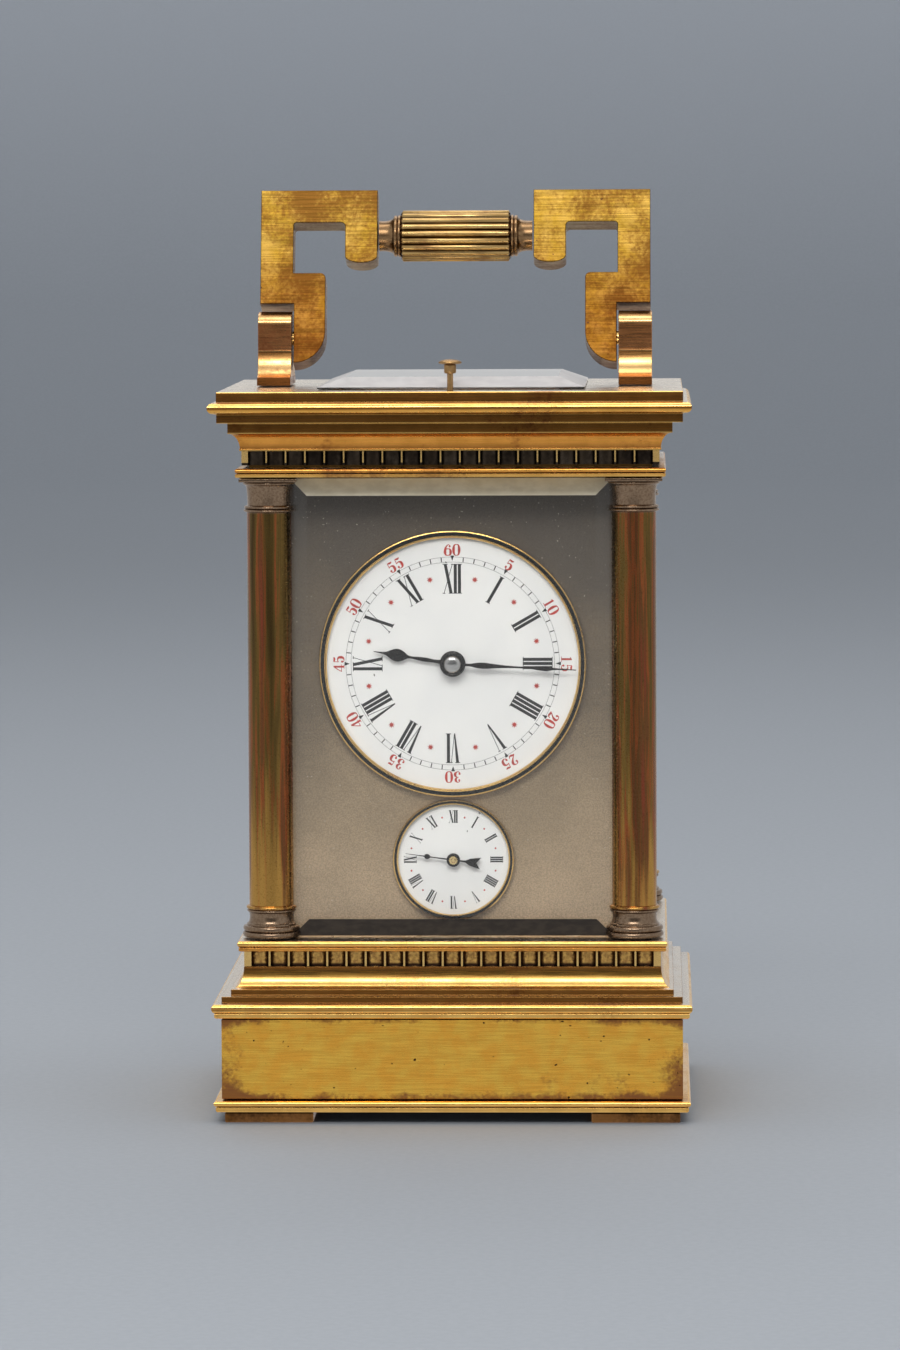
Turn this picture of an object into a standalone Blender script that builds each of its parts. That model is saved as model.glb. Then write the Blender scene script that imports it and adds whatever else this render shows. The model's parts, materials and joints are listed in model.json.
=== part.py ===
"""A four-column carriage clock with repeat button, alarm dial, swinging handle and glazed back door.

A Blender 4.5 script, run with: blender --background --python part.py
The sizes below are in millimetres and become metres where a mesh or an object is made. The origin is
the middle of the base at the height of the feet's undersides, +X is the clock's right as seen from
the front, -Y is the front and +Z is up. "Front" distances count from the middle towards the dial.
"""

import math

import bmesh
import bpy

MM = 0.001
GAP = 0.3  # Left between pieces that touch on the real clock.
DEPTH_CHANGE = -6.25  # Half depth minus half width of every moulding of the case.
ARC_STEPS = 4

# Heights and half widths of the case.
FOOT_TOP = 2.2
SKIRT_LOW, SKIRT_TOP = 2.5, 4.9
PLINTH_LOW, PLINTH_TOP = 5.2, 22.4
PLINTH_HALF, PLINTH_WALL = 49.35, 2.5
MOULDING_LOW, CASE_FLOOR = 22.7, 38.8
COLUMN_LOW, COLUMN_TOP = 39.1, 137.8
TOP_LOW, TOP_FACE = 138.1, 156.5
TOP_HALF = 49.55
COLUMN_X, COLUMN_Y = 38.8, 32.5
SHAFT_RADIUS = 4.79
PANE = 3.0
PANE_BEVEL = (2.6, 0.9)
FRONT_PANE_HALF, SIDE_PANE_HALF = 34.6, 28.3
PANE_LOW, PANE_TOP = 39.2, 137.7
TOP_PANE_HALF, TOP_PANE_HALF_DEPTH = 28.65, 32.0
TOP_PANE_TOP, TOP_PANE_BEVEL = 159.2, 5.7

# The handle and its posts.
PIVOT_HEIGHT = 166.8
HANDLE_LEAN = 15.5
HANDLE_THICKNESS = 7.2
POST_INNER, POST_OUTER = 35.7, 43.0
PIVOT_RADIUS, PIVOT_HOLE = 1.5, 1.8
GRIP_HEIGHT, GRIP_RADIUS, GRIP_HALF = 23.1, 5.64, 16.8

# The repeat button and its lever.
BUTTON_FRONT = 36.5
LEVER_FRONT, LEVER_HEIGHT = 30.0, 148.2

# The dials and the plates. Their layers are distances to the front of the middle.
MAIN_HEIGHT, ALARM_HEIGHT = 97.5, 55.1
DIAL_BACK, DIAL_FACE = 25.8, 27.0
MASK_BACK, MASK_FACE = 25.3, 26.5
MAIN_DIAL_RADIUS, ALARM_DIAL_RADIUS = 27.6, 12.4
PLATE_HALF, PLATE_LOW, PLATE_TOP = 31.0, 39.2, 118.2
PLATE_INNER, PLATE_OUTER = 17.0, 19.0
ARBOR_RADIUS, ARBOR_HOLE, ARBOR_REACH = 0.6, 0.9, 18.6
PLATFORM_LOW, PLATFORM_TOP = 118.5, 120.3

# The gears: modules, and where their arbors stand as (x, height).
BARREL_TEETH, BARREL_MODULE, LEAVES = 48, 0.6, 8
BARREL_RADIUS, BARREL_ARBOR, BARREL_BORE = 13.2, 1.5, 1.8
TRAIN_TEETH, TRAIN_MODULE = 48, 0.36
CROWN_TEETH, CROWN_RADIUS, ESCAPE_LEAVES = 36, 7.0, 6
MOTION_MODULE = 0.48
CANNON_LEAVES, MINUTE_TEETH, MINUTE_LEAVES, HOUR_TEETH = 10, 30, 8, 32
CENTRE = (0.0, MAIN_HEIGHT)
BARREL_DISTANCE = 0.5 * BARREL_MODULE * (BARREL_TEETH + LEAVES)
TRAIN_DISTANCE = 0.5 * TRAIN_MODULE * (TRAIN_TEETH + LEAVES)
MOTION_DISTANCE = 0.5 * MOTION_MODULE * (CANNON_LEAVES + MINUTE_TEETH)
BARREL_X = 15.2
BARREL_HEIGHT = MAIN_HEIGHT - math.sqrt(BARREL_DISTANCE**2 - BARREL_X**2)
CONTRATE = (5.5, 108.0)
ESCAPE_FRONT = -0.9
PALLET_X, BALANCE_X = -0.1, -5.9
STRIKE_BARREL = (BARREL_X, BARREL_HEIGHT)
GOING_BARREL = (-BARREL_X, BARREL_HEIGHT)
MINUTE_BEARING = -60.0
STRIKE_BEARING, FLY_BEARING = -112.5, -49.0
HAMMER = (18.0, 45.5)
GONG_CENTRE, GONG_OUTER, GONG_INNER, GONG_TURNS = (0.0, 80.0), 28.6, 22.0, 3
GONG_WIRE, GONG_FRONT, GONG_BEARING = 0.6, -24.0, 225.0

# The back door, hinged on an upright axis at its left edge seen from the front.
DOOR_AXIS_X, DOOR_HALF, DOOR_LOW, DOOR_TOP = -30.4, 31.6, 39.3, 137.0
DOOR_BORDER = 4.6

UPRIGHT = (0.0, 0.0, 0.0)
FACING = (90.0, 0.0, 0.0)  # Drawn in x and height, with the piece's own +Z to the front.
ACROSS = (90.0, 0.0, 90.0)  # Drawn in depth and height, with the piece's own +Z to the right.
RIGHTWARD, LEFTWARD, BACKWARD = (0.0, 90.0, 0.0), (0.0, -90.0, 0.0), (90.0, 0.0, 180.0)


# Scene, materials and objects.


def clear_scene():
    for obj in list(bpy.data.objects):
        bpy.data.objects.remove(obj)


def new_collection(name):
    collection = bpy.data.collections.new(name)
    bpy.context.scene.collection.children.link(collection)
    return collection


def metal(name, colour, roughness, metallic=1.0):
    made = bpy.data.materials.new(name)
    made.use_nodes = True
    shader = made.node_tree.nodes["Principled BSDF"]
    shader.inputs["Base Color"].default_value = (*colour, 1.0)
    shader.inputs["Roughness"].default_value = roughness
    shader.inputs["Metallic"].default_value = metallic
    return made


def glass(name):
    made = metal(name, (0.93, 0.96, 0.95), 0.03, 0.0)
    made.node_tree.nodes["Principled BSDF"].inputs["Transmission Weight"].default_value = 1.0
    return made


clear_scene()
CLOCK = new_collection("carriage_clock")
TOOLS = new_collection("cutters_and_joined_shapes")
GILT = metal("gilt_brass", (0.72, 0.47, 0.17), 0.32)
PATINA = metal("patinated_brass", (0.33, 0.21, 0.11), 0.36)
DARK = metal("dark_brass", (0.24, 0.15, 0.08), 0.38)
PLATE_BRASS = metal("plate_brass", (0.80, 0.60, 0.28), 0.28)
MASK_METAL = metal("grained_mask", (0.42, 0.37, 0.29), 0.55)
ENAMEL = metal("white_enamel", (0.90, 0.91, 0.93), 0.12, 0.0)
STEEL = metal("steel", (0.55, 0.55, 0.56), 0.25)
BLUED = metal("blued_steel", (0.05, 0.07, 0.16), 0.25)
BLACK = metal("blackened_steel", (0.02, 0.02, 0.02), 0.30)
CLEAR = glass("clear_glass")


def add_object(name, data, material, place=(0, 0, 0), turn=UPRIGHT, parent=None, tool=False):
    """An object placed in millimetres and degrees. A tool only cuts or joins, so it isn't rendered."""
    obj = bpy.data.objects.new(name, data)
    data.materials.append(material)
    obj.location = [value * MM for value in place]
    obj.rotation_euler = [math.radians(value) for value in turn]
    obj.parent = parent
    (TOOLS if tool else CLOCK).objects.link(obj)
    obj.hide_render = tool
    obj.display_type = "WIRE" if tool else "TEXTURED"
    return obj


def add_from_bmesh(name, made, material, smooth=False, **placing):
    mesh = bpy.data.meshes.new(name)
    made.to_mesh(mesh)
    made.free()
    if smooth:
        mesh.shade_smooth()
        mesh.set_sharp_from_angle(angle=math.radians(35))
    return add_object(name, mesh, material, **placing)


def pivot(name, place, turn=UPRIGHT):
    """An empty on a joint's axis, which carries the pieces that turn about it."""
    empty = bpy.data.objects.new(name, None)
    empty.location = [value * MM for value in place]
    empty.rotation_euler = [math.radians(value) for value in turn]
    empty.empty_display_size = 10 * MM
    CLOCK.objects.link(empty)
    return empty


def use_tool(obj, tool, operation):
    modifier = obj.modifiers.new(tool.name, "BOOLEAN")
    modifier.operation = operation
    modifier.object = tool


def cut(obj, *tools):
    for tool in tools:
        use_tool(obj, tool, "DIFFERENCE")


def join(obj, *tools):
    for tool in tools:
        use_tool(obj, tool, "UNION")


# Points along outlines and profiles.


def quarter(start, end, upright, steps=ARC_STEPS):
    """Points on a quarter ellipse from start to end, which leaves start upright or flat."""
    points = []
    for i in range(steps + 1):
        angle = 0.5 * math.pi * i / steps
        across, up = math.sin(angle), 1 - math.cos(angle)
        if upright:
            across, up = up, across
        points.append((start[0] + (end[0] - start[0]) * across, start[1] + (end[1] - start[1]) * up))
    return points


def bead(inner, outer, low, high, steps=ARC_STEPS):
    """A half-round that swells from inner to outer between two heights."""
    middle = 0.5 * (low + high)
    lower = quarter((inner, low), (outer, middle), upright=False, steps=steps)
    return lower + quarter((outer, middle), (inner, high), upright=True, steps=steps)[1:]


def circle(radius, steps, centre=(0, 0), start=0.0, sweep=360.0):
    """Points round a circle, or along an arc of it when the sweep is less, both ends included."""
    count = steps if sweep == 360.0 else steps + 1
    angles = [math.radians(start + sweep * i / steps) for i in range(count)]
    return [(centre[0] + radius * math.cos(a), centre[1] + radius * math.sin(a)) for a in angles]


def polar(centre, distance, bearing):
    angle = math.radians(bearing)
    return (centre[0] + distance * math.cos(angle), centre[1] + distance * math.sin(angle))


def bearing_of(start, end):
    return math.degrees(math.atan2(end[1] - start[1], end[0] - start[0]))


def third_centre(first, first_distance, second, second_distance):
    """The point at two given distances from two points, on the left going from the first to the second."""
    apart = math.dist(first, second)
    along = (first_distance**2 - second_distance**2 + apart**2) / (2 * apart)
    aside = math.degrees(math.acos(along / first_distance))
    return polar(first, first_distance, bearing_of(first, second) + aside)


# Shapes.


def block(name, low, high, material=GILT, **placing):
    made = bmesh.new()
    bmesh.ops.create_cube(made, size=MM)
    bmesh.ops.scale(made, vec=[h - l for l, h in zip(low, high)], verts=made.verts)
    bmesh.ops.translate(made, vec=[0.5 * MM * (l + h) for l, h in zip(low, high)], verts=made.verts)
    return add_from_bmesh(name, made, material, **placing)


def cylinder(name, radius, low, high, material=GILT, steps=16, **placing):
    made = bmesh.new()
    depth = (high - low) * MM
    bmesh.ops.create_cone(
        made, cap_ends=True, segments=steps, radius1=radius * MM, radius2=radius * MM, depth=depth
    )
    bmesh.ops.translate(made, vec=(0, 0, 0.5 * MM * (low + high)), verts=made.verts)
    return add_from_bmesh(name, made, material, smooth=steps > 4, **placing)


def set_section(face, half_x, half_y, height):
    for vert in face.verts:
        x, y = math.copysign(half_x, vert.co.x), math.copysign(half_y, vert.co.y)
        vert.co = (x * MM, y * MM, height * MM)


def moulded_block(name, profile, material, change=DEPTH_CHANGE, **placing):
    """A rectangular block with one moulding on its four sides. The profile climbs as (half x, height)."""
    made = bmesh.new()
    bmesh.ops.create_cube(made, size=2 * MM)
    made.normal_update()
    bottom = min(made.faces, key=lambda face: face.normal.z)
    top = max(made.faces, key=lambda face: face.normal.z)
    set_section(bottom, profile[0][0], profile[0][0] + change, profile[0][1])
    set_section(top, profile[1][0], profile[1][0] + change, profile[1][1])
    for half, height in profile[2:]:
        top = bmesh.ops.extrude_discrete_faces(made, faces=[top])["faces"][0]
        set_section(top, half, half + change, height)
    return add_from_bmesh(name, made, material, **placing)


def turned(name, profile, material, steps=16, ring=False, **placing):
    """A shape turned about its own Z. The profile climbs on the outside, as (radius, height).

    A ring's profile goes on down its inside and closes on itself.
    """
    mesh = bpy.data.meshes.new(name)
    points = [(radius * MM, 0, height * MM) for radius, height in reversed(profile)]
    edges = [(i, i + 1) for i in range(len(points) - 1)]
    if ring:
        edges.append((len(points) - 1, 0))
    mesh.from_pydata(points, edges, [])
    obj = add_object(name, mesh, material, **placing)
    screw = obj.modifiers.new("turning", "SCREW")
    screw.steps = screw.render_steps = steps
    screw.use_merge_vertices = True
    screw.merge_threshold = 1e-6
    screw.use_smooth_shade = True
    return obj


def flat_piece(name, outlines, low, high, material, **placing):
    """A flat piece between two heights of its own frame. The first outline is its outside, the rest are holes."""
    curve = bpy.data.curves.new(name, "CURVE")
    curve.dimensions = "2D"
    curve.fill_mode = "BOTH"
    curve.extrude = 0.5 * MM * (high - low)
    for outline in outlines:
        spline = curve.splines.new("POLY")
        spline.points.add(len(outline) - 1)
        for point, (x, y) in zip(spline.points, outline):
            point.co = (x * MM, y * MM, 0, 1)
        spline.use_cyclic_u = True
    return mesh_of_curve(name, curve, material, 0.5 * (low + high), **placing)


def mesh_of_curve(name, curve, material, lift=0.0, **placing):
    """A mesh object from a curve, its caps welded, so that it can be cut and joined."""
    drawn = bpy.data.objects.new(name, curve)
    bpy.context.scene.collection.objects.link(drawn)
    graph = bpy.context.evaluated_depsgraph_get()
    mesh = bpy.data.meshes.new_from_object(drawn.evaluated_get(graph))
    bpy.data.objects.remove(drawn)
    bpy.data.curves.remove(curve)
    made = bmesh.new()
    made.from_mesh(mesh)
    bpy.data.meshes.remove(mesh)
    bmesh.ops.remove_doubles(made, verts=made.verts, dist=1e-7)
    bmesh.ops.recalc_face_normals(made, faces=made.faces)
    bmesh.ops.translate(made, vec=(0, 0, lift * MM), verts=made.verts)
    return add_from_bmesh(name, made, material, **placing)


# Gears.


def spur_outline(teeth, module, tooth_bearing):
    """A spur gear's outline with straight flanks and free play, one tooth pointing along the bearing."""
    pitch_radius = 0.5 * teeth * module
    root, tip = pitch_radius - 1.15 * module, pitch_radius + 0.75 * module
    corners = ((root, -0.24), (tip, -0.09), (tip, 0.09), (root, 0.24))
    return toothed_outline(teeth, corners, tooth_bearing)


def toothed_outline(teeth, corners, tooth_bearing):
    """Teeth round a circle. Each corner is a radius and a share of the tooth spacing."""
    spacing = 360.0 / teeth
    outline = []
    for i in range(teeth):
        for radius, share in corners:
            outline.append(polar((0, 0), radius, tooth_bearing + (i + share) * spacing))
    return outline


def windows(inner, outer, count, spoke=1.0, start=0.0):
    """The openings between a wheel's spokes."""
    found = []
    for i in range(count):
        middle = start + 360.0 * (i + 0.5) / count
        ends = []
        for radius in (outer, inner):
            half = 180.0 / count - math.degrees(0.5 * spoke / radius)
            ends.append(circle(radius, 3, start=middle - half, sweep=2 * half))
        found.append(ends[0] + ends[1][::-1])
    return found


def gap_bearing(teeth, bearing):
    """Where a tooth points when a gap faces along the bearing."""
    return bearing + 180.0 / teeth


def geared_arbor(name, centre, gears, discs, material=PLATE_BRASS, bore=None):
    """One solid of gears and discs on an arbor that runs front to back through centre.

    A gear is (teeth, module, tooth bearing, low, high, spokes). A disc is (radius, low, high, steps).
    A bore is (radius, low, high). Heights count to the front.
    """
    placing = {"place": (centre[0], 0, centre[1]), "turn": FACING}
    solids = []
    for i, (teeth, module, bearing, low, high, spokes) in enumerate(gears):
        outlines = [spur_outline(teeth, module, bearing)]
        if spokes:
            outlines += windows(0.1 * teeth * module, 0.5 * teeth * module - 2.2 * module, spokes)
        solid = flat_piece(f"{name}_gear_{i}", outlines, low, high, material, tool=i > 0, **placing)
        solids.append(solid)
    for i, (radius, low, high, steps) in enumerate(discs):
        extra = {"tool": len(solids) > 0, **placing}
        solids.append(cylinder(f"{name}_disc_{i}", radius, low, high, material, steps=steps, **extra))
    obj = solids[0]
    obj.name = obj.data.name = name
    join(obj, *solids[1:])
    if bore:
        radius, low, high = bore
        cut(obj, cylinder(f"{name}_bore", radius, low, high, steps=12, tool=True, **placing))
    return obj


# The case.


def feet():
    half_x, half_y = 9.5, 8.5
    for side, x in (("left", -39.3), ("right", 39.3)):
        for end, y in (("front", -33.8), ("back", 33.8)):
            low, high = (-half_x, -half_y, 0), (half_x, half_y, FOOT_TOP)
            foot = block(f"foot_{end}_{side}", low, high, DARK, place=(x, y, 0))
            foot.modifiers.new("edges", "BEVEL").width = 0.25 * MM


def plinth_skirt():
    profile = [(50.3, SKIRT_LOW), (50.6, SKIRT_LOW + 0.3), (50.6, 3.6)]
    profile += bead(50.3, 51.05, 3.7, SKIRT_TOP)
    moulded_block("plinth_skirt", profile, PATINA)


def plinth_body():
    edge = 0.25
    profile = [
        (PLINTH_HALF - edge, PLINTH_LOW),
        (PLINTH_HALF, PLINTH_LOW + edge),
        (PLINTH_HALF, PLINTH_TOP - edge),
        (PLINTH_HALF - edge, PLINTH_TOP),
    ]
    body = moulded_block("plinth_body", profile, GILT)
    inside = PLINTH_HALF - PLINTH_WALL
    deep = inside + DEPTH_CHANGE
    low, high = (-inside, -deep, PLINTH_LOW - 1), (inside, deep, PLINTH_TOP + 1)
    cut(body, block("plinth_hollow", low, high, tool=True))


def base_moulding():
    profile = [(50.5, MOULDING_LOW), (50.8, 23.0), (50.8, 23.8)]
    profile += bead(50.5, 51.4, 23.9, 25.8)
    profile += [(49.3, 25.9), (49.3, 27.3), (47.4, 27.5), (47.4, 28.6)]
    profile += quarter((47.1, 28.7), (44.7, 33.0), upright=False)
    profile += [(44.65, 33.2), (42.9, 33.3), (42.9, 36.4), (45.5, 36.5), (45.8, 36.7), (45.8, 37.4)]
    profile += bead(45.5, 46.1, 37.5, CASE_FLOOR)
    moulding = moulded_block("base_moulding", profile, PATINA)
    low, high = (-40.0, -33.75, MOULDING_LOW - 1), (40.0, 33.75, CASE_FLOOR - 3)
    cut(moulding, block("moulding_hollow", low, high, tool=True))


def column_profile():
    profile = [(0.0, COLUMN_LOW), (5.9, COLUMN_LOW)]
    profile += bead(5.75, 6.26, 39.2, 41.5, steps=2)
    profile += [(5.5, 41.6), (5.5, 42.1)]
    profile += quarter((5.3, 42.2), (4.7, 44.0), upright=False, steps=2)
    profile += bead(4.85, 5.2, 44.1, 45.2, steps=1)
    profile += [(SHAFT_RADIUS, 45.4), (SHAFT_RADIUS, 130.6)]
    profile += bead(4.9, 5.25, 130.7, 132.0, steps=1)
    profile += quarter((4.6, 132.3), (5.1, 136.3), upright=True, steps=2)
    profile += [(5.45, 136.5), (5.45, 137.1), (6.1, 137.3), (6.1, COLUMN_TOP), (0.0, COLUMN_TOP)]
    return profile


def columns():
    """Four turned columns, slotted from top to bottom for the edges of the panes."""
    slot_half = 0.5 * PANE + GAP
    slot_start = COLUMN_X - FRONT_PANE_HALF - GAP
    low, high = COLUMN_LOW - 1, COLUMN_TOP + 1
    for side, x in (("left", -COLUMN_X), ("right", COLUMN_X)):
        for end, y in (("front", -COLUMN_Y), ("back", COLUMN_Y)):
            name = f"column_{end}_{side}"
            column = turned(name, column_profile(), PATINA, steps=12, place=(x, y, 0))
            near, far = sorted((-math.copysign(slot_start, y), -math.copysign(9, y)))
            corners = (-slot_half, near, low), (slot_half, far, high)
            cut(column, block(f"{name}_side_slot", *corners, place=(x, y, 0), tool=True))
            if end == "front":
                near, far = sorted((-math.copysign(slot_start, x), -math.copysign(9, x)))
                corners = (near, -slot_half, low), (far, slot_half, high)
                cut(column, block(f"{name}_front_slot", *corners, place=(x, y, 0), tool=True))


def entablature():
    profile = [(45.4, TOP_LOW), (45.85, 138.3), (45.85, 138.9), (45.2, 139.0)]
    profile += bead(45.2, 45.85, 139.1, 140.1)
    profile += [(43.0, 140.2), (43.0, 143.8), (45.0, 143.9), (45.0, 144.2)]
    profile += quarter((44.9, 144.3), (47.3, 147.7), upright=True)
    profile += [(47.3, 149.8), (49.5, 149.9), (49.5, 151.7)]
    profile += bead(49.8, 51.4, 151.9, 154.3)
    profile += [(TOP_HALF, 154.4), (TOP_HALF, TOP_FACE - 0.2), (TOP_HALF - 0.2, TOP_FACE)]
    top = moulded_block("entablature", profile, DARK)
    pocket = (-34.3, -28.0, TOP_LOW - 1), (34.3, 28.0, TOP_FACE - 3)
    light = (-25.5, -27.7, TOP_LOW - 1), (25.5, 27.7, TOP_FACE + 1)
    channel = (-2.5, -37.7, 144.2), (2.5, -27.0, 151.5)
    cut(top, block("top_pocket", *pocket, tool=True), block("top_light", *light, tool=True))
    cut(top, block("lever_channel", *channel, tool=True))
    stem = {"place": (0, -BUTTON_FRONT, 0), "tool": True}
    cut(top, cylinder("stem_hole", 1.0, 150.0, TOP_FACE + 1, steps=12, **stem))
    pin = {"place": (0, -LEVER_FRONT, LEVER_HEIGHT), "turn": RIGHTWARD, "tool": True}
    cut(top, cylinder("lever_pin_hole", 0.9, -5.0, 5.0, steps=12, **pin))


def pane(name, half_x, half_y, thickness, bevel, **placing):
    """A pane with its bevel towards its own +Z, lying from height 0 to its thickness."""
    width, depth = bevel
    profile = [(half_x, 0), (half_x, thickness - depth), (half_x - width, thickness)]
    return moulded_block(name, profile, CLEAR, change=half_y - half_x, **placing)


def panes():
    middle, half_height = 0.5 * (PANE_LOW + PANE_TOP), 0.5 * (PANE_TOP - PANE_LOW)
    inner_x, inner_y = COLUMN_X - 0.5 * PANE, COLUMN_Y - 0.5 * PANE
    size = (FRONT_PANE_HALF, half_height, PANE, PANE_BEVEL)
    pane("front_glass", *size, place=(0, -inner_y, middle), turn=FACING)
    size = (half_height, SIDE_PANE_HALF, PANE, PANE_BEVEL)
    pane("right_glass", *size, place=(inner_x, 0, middle), turn=RIGHTWARD)
    pane("left_glass", *size, place=(-inner_x, 0, middle), turn=LEFTWARD)
    low = TOP_FACE + GAP
    height = TOP_PANE_TOP - low
    bevel = (TOP_PANE_BEVEL, height - 0.3)
    pane("top_glass", TOP_PANE_HALF, TOP_PANE_HALF_DEPTH, height, bevel, place=(0, 0, low))


# The handle.


def handle_posts():
    base_half, neck_half, head_rise = 9.6, 5.0, 172.7
    low = TOP_FACE + GAP
    half = [(base_half, low), (base_half, 158.6)]
    half += quarter((base_half - 0.4, 158.8), (neck_half + 0.2, 164.2), upright=False, steps=6)
    half += [(neck_half, 164.4), (neck_half, head_rise - 2.5)]
    half += quarter((neck_half, head_rise - 2.5), (0, head_rise), upright=True, steps=5)[1:]
    outline = half + [(-depth, height) for depth, height in half[-2::-1]]
    thickness = POST_OUTER - POST_INNER
    hole = circle(PIVOT_HOLE, 12, centre=(0, PIVOT_HEIGHT))
    for side, x in (("left", -POST_OUTER), ("right", POST_INNER)):
        name = f"handle_post_{side}"
        flat_piece(name, [outline, hole], 0, thickness, DARK, place=(x, 0, 0), turn=ACROSS)


def handle_screws():
    """Headless screws, flush with the outer faces of the posts."""
    profile = [(0, 29.5), (PIVOT_RADIUS, 29.5), (PIVOT_RADIUS, POST_OUTER - 0.3)]
    profile += [(PIVOT_RADIUS - 0.2, POST_OUTER - 0.1), (0, POST_OUTER - 0.1)]
    for side, turn in (("left", LEFTWARD), ("right", RIGHTWARD)):
        turned(f"handle_screw_{side}", profile, GILT, place=(0, 0, PIVOT_HEIGHT), turn=turn)


def arm_outline():
    """The right Greek-key arm in x and height above the pivot."""
    lobe_rise, lobe_bottom = 17.7, 16.2
    outline = [(42.7, 7.0), (42.7, 32.6), (17.1, 32.6)]
    outline += quarter((17.1, lobe_rise), (20.65, lobe_bottom), upright=True)
    outline += quarter((20.65, lobe_bottom), (24.2, lobe_rise), upright=False)[1:]
    outline += quarter((24.2, 24.4), (25.1, 25.3), upright=True, steps=3)
    outline += quarter((34.9, 25.3), (35.5, 24.7), upright=False, steps=2)
    outline += [(35.5, 13.9)]
    outline += quarter((29.5, 13.9), (28.4, 12.8), upright=False, steps=3)
    outline += quarter((28.4, 0.6), (35.3, -6.3), upright=True, steps=6)
    outline += [(35.3, 7.0)]
    return outline


def handle():
    lean = pivot("handle_pivot", (0, 0, PIVOT_HEIGHT), (-HANDLE_LEAN, 0, 0))
    half = 0.5 * HANDLE_THICKNESS
    for side, sign in (("left", -1), ("right", 1)):
        outline = [(sign * x, height) for x, height in arm_outline()]
        name = f"handle_arm_{side}"
        arm = flat_piece(name, [outline], -half, half, GILT, turn=FACING, parent=lean)
        ends = sorted((sign * 27.0, sign * 37.0))
        hole = {"turn": RIGHTWARD, "parent": lean, "tool": True}
        cut(arm, cylinder(f"{name}_hole", PIVOT_HOLE, *ends, steps=16, **hole))
    profile = [(0, -GRIP_HALF), (3.3, -GRIP_HALF), (3.3, -15.6), (4.6, -14.4), (4.6, -12.6)]
    profile += [(GRIP_RADIUS, -12.3)]
    profile += [(radius, -along) for radius, along in reversed(profile)]
    place = {"place": (0, 0, GRIP_HEIGHT), "turn": RIGHTWARD, "parent": lean}
    turned("handle_grip", profile, GILT, steps=16, **place)


# The repeat work.


def repeat_work():
    profile = [(0, 149.3), (0.65, 149.3), (0.65, 160.2), (1.2, 160.3), (1.2, 161.9)]
    profile += [(2.5, 162.1)] + quarter((2.5, 162.5), (0, 163.2), upright=True)
    turned("repeat_button", profile, GILT, steps=12, place=(0, -BUTTON_FRONT, 0))
    placing = {"place": (0, -LEVER_FRONT, LEVER_HEIGHT)}
    lever = block("repeat_lever", (-1.2, -7.3, -0.8), (1.2, 9.0, 0.8), STEEL, **placing)
    join(lever, cylinder("lever_pin", 0.6, -4.5, 4.5, STEEL, 12, turn=RIGHTWARD, tool=True, **placing))


# The dials and hands.


def dial_mask():
    middle, half_height, half_width = 88.3, 49.0, 36.0
    corners = ((-1, -1), (1, -1), (1, 1), (-1, 1))
    outline = [(sx * half_width, middle + sz * half_height) for sx, sz in corners]
    holes = [
        circle(MAIN_DIAL_RADIUS + 0.4, 32, centre=(0, MAIN_HEIGHT)),
        circle(ALARM_DIAL_RADIUS + 0.4, 24, centre=(0, ALARM_HEIGHT)),
    ]
    flat_piece("dial_mask", [outline, *holes], MASK_BACK, MASK_FACE, MASK_METAL, turn=FACING)


def dial(name, radius, hole, height, steps):
    outlines = [circle(radius, steps), circle(hole, 12)]
    place = (0, 0, height)
    flat_piece(f"{name}_dial", outlines, DIAL_BACK, DIAL_FACE, ENAMEL, place=place, turn=FACING)


def bezel(name, inner, outer, rise, height, steps):
    low, high = DIAL_FACE + GAP, DIAL_FACE + GAP + rise
    profile = [(inner, low), (outer, low), (outer, high - 0.4), (outer - 0.5, high), (inner, high - 0.5)]
    placing = {"place": (0, 0, height), "turn": FACING}
    turned(f"{name}_bezel", profile, GILT, steps=steps, ring=True, **placing)


def blade(shape, sign=1):
    """Both sides of a hand's blade, from its upper root round its tip to its lower root."""
    upper = [(sign * along, sign * wide) for along, wide in shape]
    return upper + [(x, -y) for x, y in reversed(upper) if y]


def hand(name, shape, boss, hole, bearing, low, high, height, tail=()):
    """A flat hand. A shape is (distance from the axis, half width) from the boss to the tip."""
    root = math.degrees(math.asin(shape[0][1] / boss))
    outline = blade(shape[1:])
    if tail:
        tail_root = math.degrees(math.asin(tail[0][1] / boss))
        outline += circle(boss, 5, start=-root, sweep=root + tail_root - 180)
        outline += blade(tail[1:], sign=-1)
        outline += circle(boss, 5, start=180 - tail_root, sweep=root + tail_root - 180)
    else:
        outline += circle(boss, 14, start=-root, sweep=2 * root - 360)
    # The hand is drawn pointing right and turned anticlockwise, as seen from the front, to its bearing.
    turn = (90, -bearing, 0)
    return flat_piece(name, [outline, circle(hole, 10)], low, high, BLACK, place=(0, 0, height), turn=turn)


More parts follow.
